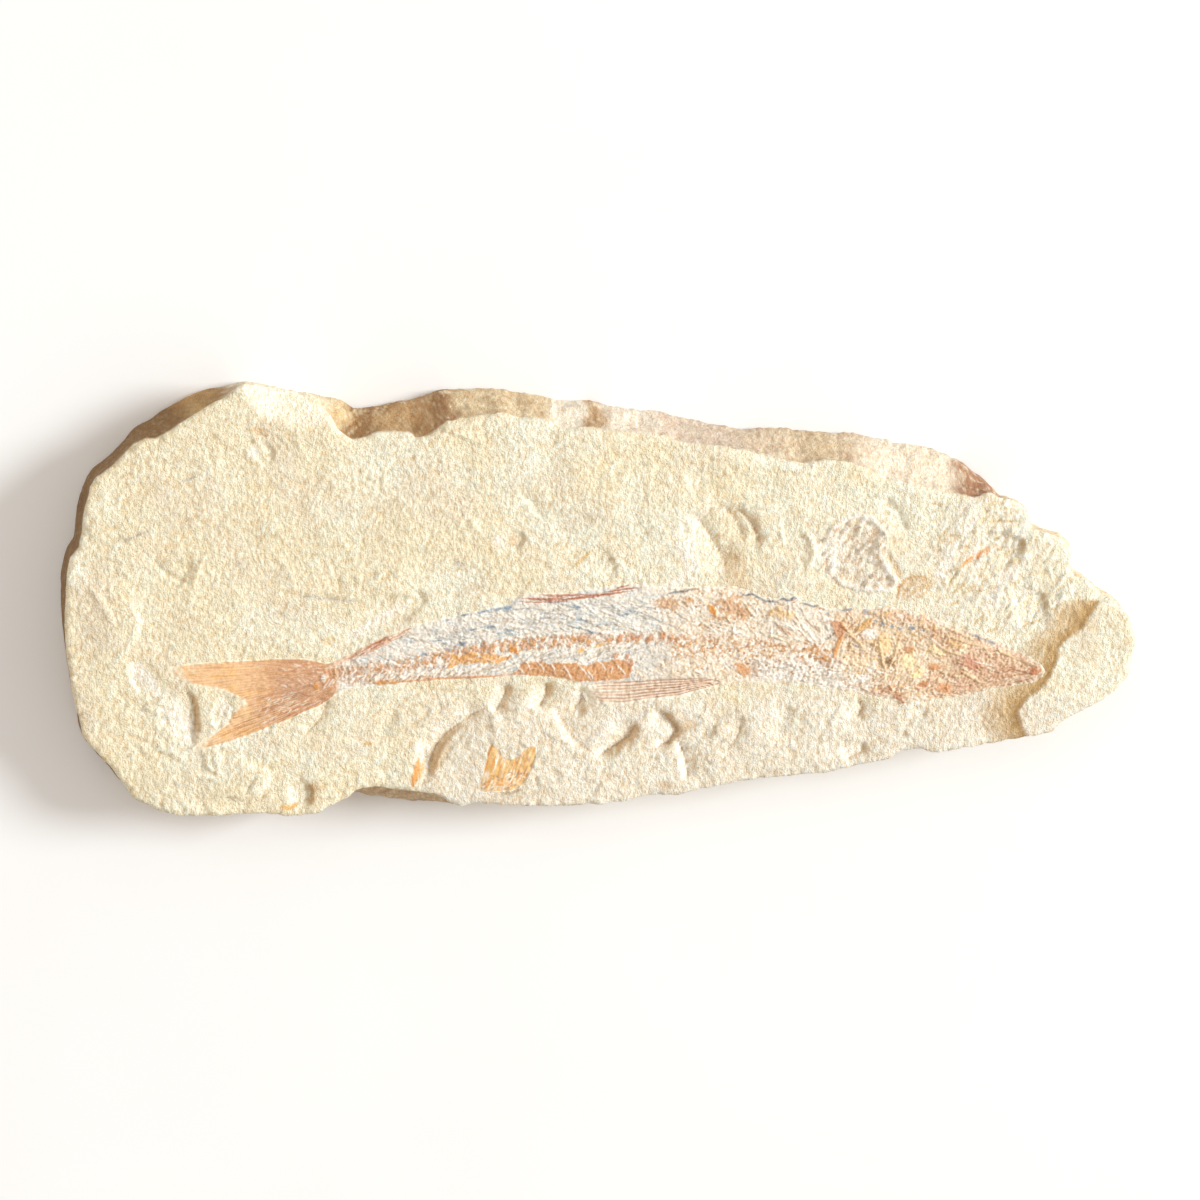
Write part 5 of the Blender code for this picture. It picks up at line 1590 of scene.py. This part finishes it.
# ---- the room -----------------------------------------------------------------------------------
CAMERA_DISTANCE = 1.10
FRAME_WIDTH = 0.336  # what the picture's width takes in at the stone's face
CAMERA_LEAN = (9.0, 3.0)  # degrees from straight down: towards the plate's upper edge, and its left
CAMERA_AIM = (0.0, 0.0004, 0.021)
SENSOR_WIDTH = 36.0  # millimetres

FLOOR_HALF = 3.0
FLOOR_SHADES = (0.89, 0.92)
SKY = (1.0, 0.89, 0.77, 1.0)
SKY_STRENGTH = 0.64
# Name, bearing and height in degrees, distance, size, watts and colour.
LIGHTS = (
    ("key", (12, 30), 5.0, 1.67, 226.0, (0.97, 1.0, 1.0)),
    ("fill", (120, 60), 2.4, 1.6, 6.0, (1.0, 0.96, 0.9)),
)


def floor_material():
    """A matt, nearly white floor."""
    nodes = Nodes("studio_floor")
    place = nodes.add("ShaderNodeTexCoord").outputs["Object"]
    shade = nodes.remap(nodes.noise(place, 9.0, 3.0, 0.5), 0.3, 0.7, *FLOOR_SHADES)
    blue = nodes.math("ADD", shade, 0.07)
    green = nodes.math("ADD", shade, 0.03)
    colour = nodes.add("ShaderNodeCombineColor", {"Red": shade, "Green": green, "Blue": blue})
    nodes.link(colour.outputs[0], nodes.shader.inputs["Base Color"])
    nodes.shader.inputs["Roughness"].default_value = 0.9
    return nodes.material


def add_floor():
    mesh = bpy.data.meshes.new("floor")
    corners = [(FLOOR_HALF * x, FLOOR_HALF * y, 0) for x, y in ((-1, -1), (1, -1), (1, 1), (-1, 1))]
    mesh.from_pydata(corners, [], [(0, 1, 2, 3)])
    mesh.materials.append(floor_material())
    floor = bpy.data.objects.new("floor", mesh)
    bpy.context.scene.collection.objects.link(floor)


def add_light(name, direction, distance, size, watts, colour):
    """A round soft lamp that points at the middle of the plate, from a bearing and a height in degrees."""
    lamp = bpy.data.lights.new(name, "AREA")
    lamp.shape = "DISK"
    lamp.size = size
    lamp.energy = watts
    lamp.color = colour
    light = bpy.data.objects.new(name, lamp)
    bearing, height = (math.radians(angle) for angle in direction)
    level = math.cos(height)
    spot = Vector((math.cos(bearing) * level, math.sin(bearing) * level, math.sin(height)))
    light.location = spot * distance
    light.rotation_euler = (-spot).to_track_quat("-Z", "Y").to_euler()
    bpy.context.scene.collection.objects.link(light)


def add_camera():
    camera = bpy.data.cameras.new("camera")
    camera.sensor_width = SENSOR_WIDTH
    camera.lens = SENSOR_WIDTH * CAMERA_DISTANCE / FRAME_WIDTH
    eye = bpy.data.objects.new("camera", camera)
    lean_up, lean_left = (math.tan(math.radians(angle)) for angle in CAMERA_LEAN)
    toward = Vector((-lean_left, lean_up, 1.0)).normalized()
    up = toward.cross(Vector((1, 0, 0))).normalized()
    turn = Matrix((up.cross(toward), up, toward)).transposed()
    eye.matrix_world = Matrix.LocRotScale(Vector(CAMERA_AIM) + toward * CAMERA_DISTANCE, turn, None)
    bpy.context.scene.collection.objects.link(eye)
    bpy.context.scene.camera = eye


world = bpy.data.worlds.new("studio")
world.use_nodes = True
background = world.node_tree.nodes["Background"]
background.inputs["Color"].default_value = SKY
background.inputs["Strength"].default_value = SKY_STRENGTH
bpy.context.scene.world = world
bpy.context.scene.view_settings.view_transform = "Standard"

add_camera()
add_floor()
for light in LIGHTS:
    add_light(*light)

stone_material = mineral(
    "limestone", grain_depth=0.72, speckle=0.14, rough=(0.82, 0.97), stretch=(1.0, 0.72, 0.72),
    low=(0.95, 0.84, 0.71), high=(1.02, 1.045, 1.065),
)
bone_material = mineral(
    "fossil_bone", grain_depth=0.20, speckle=0.06, rough=(0.5, 0.75), stretch=(0.4, 1.0, 1.0),
    low=(0.95, 0.92, 0.89), high=(1.03, 1.03, 1.04), film=True,
)

plate = limestone_slab()
plate.data.materials.append(stone_material)
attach(plate, "root")
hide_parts("limestone_slab")

fish = bone_piece("fish", FISH_EDGE, BONE_STEP, BONE_EDGE_REACH, fish_surface)
fish.data.materials.append(bone_material)
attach(fish, "root")
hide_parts("fossil_fish")

scrap = bone_piece("bone_scrap", SCRAP_EDGE, SCRAP_STEP, SCRAP_EDGE_REACH, scrap_surface)
scrap.data.materials.append(bone_material)
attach(scrap, "root")
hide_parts("bone_fragment")
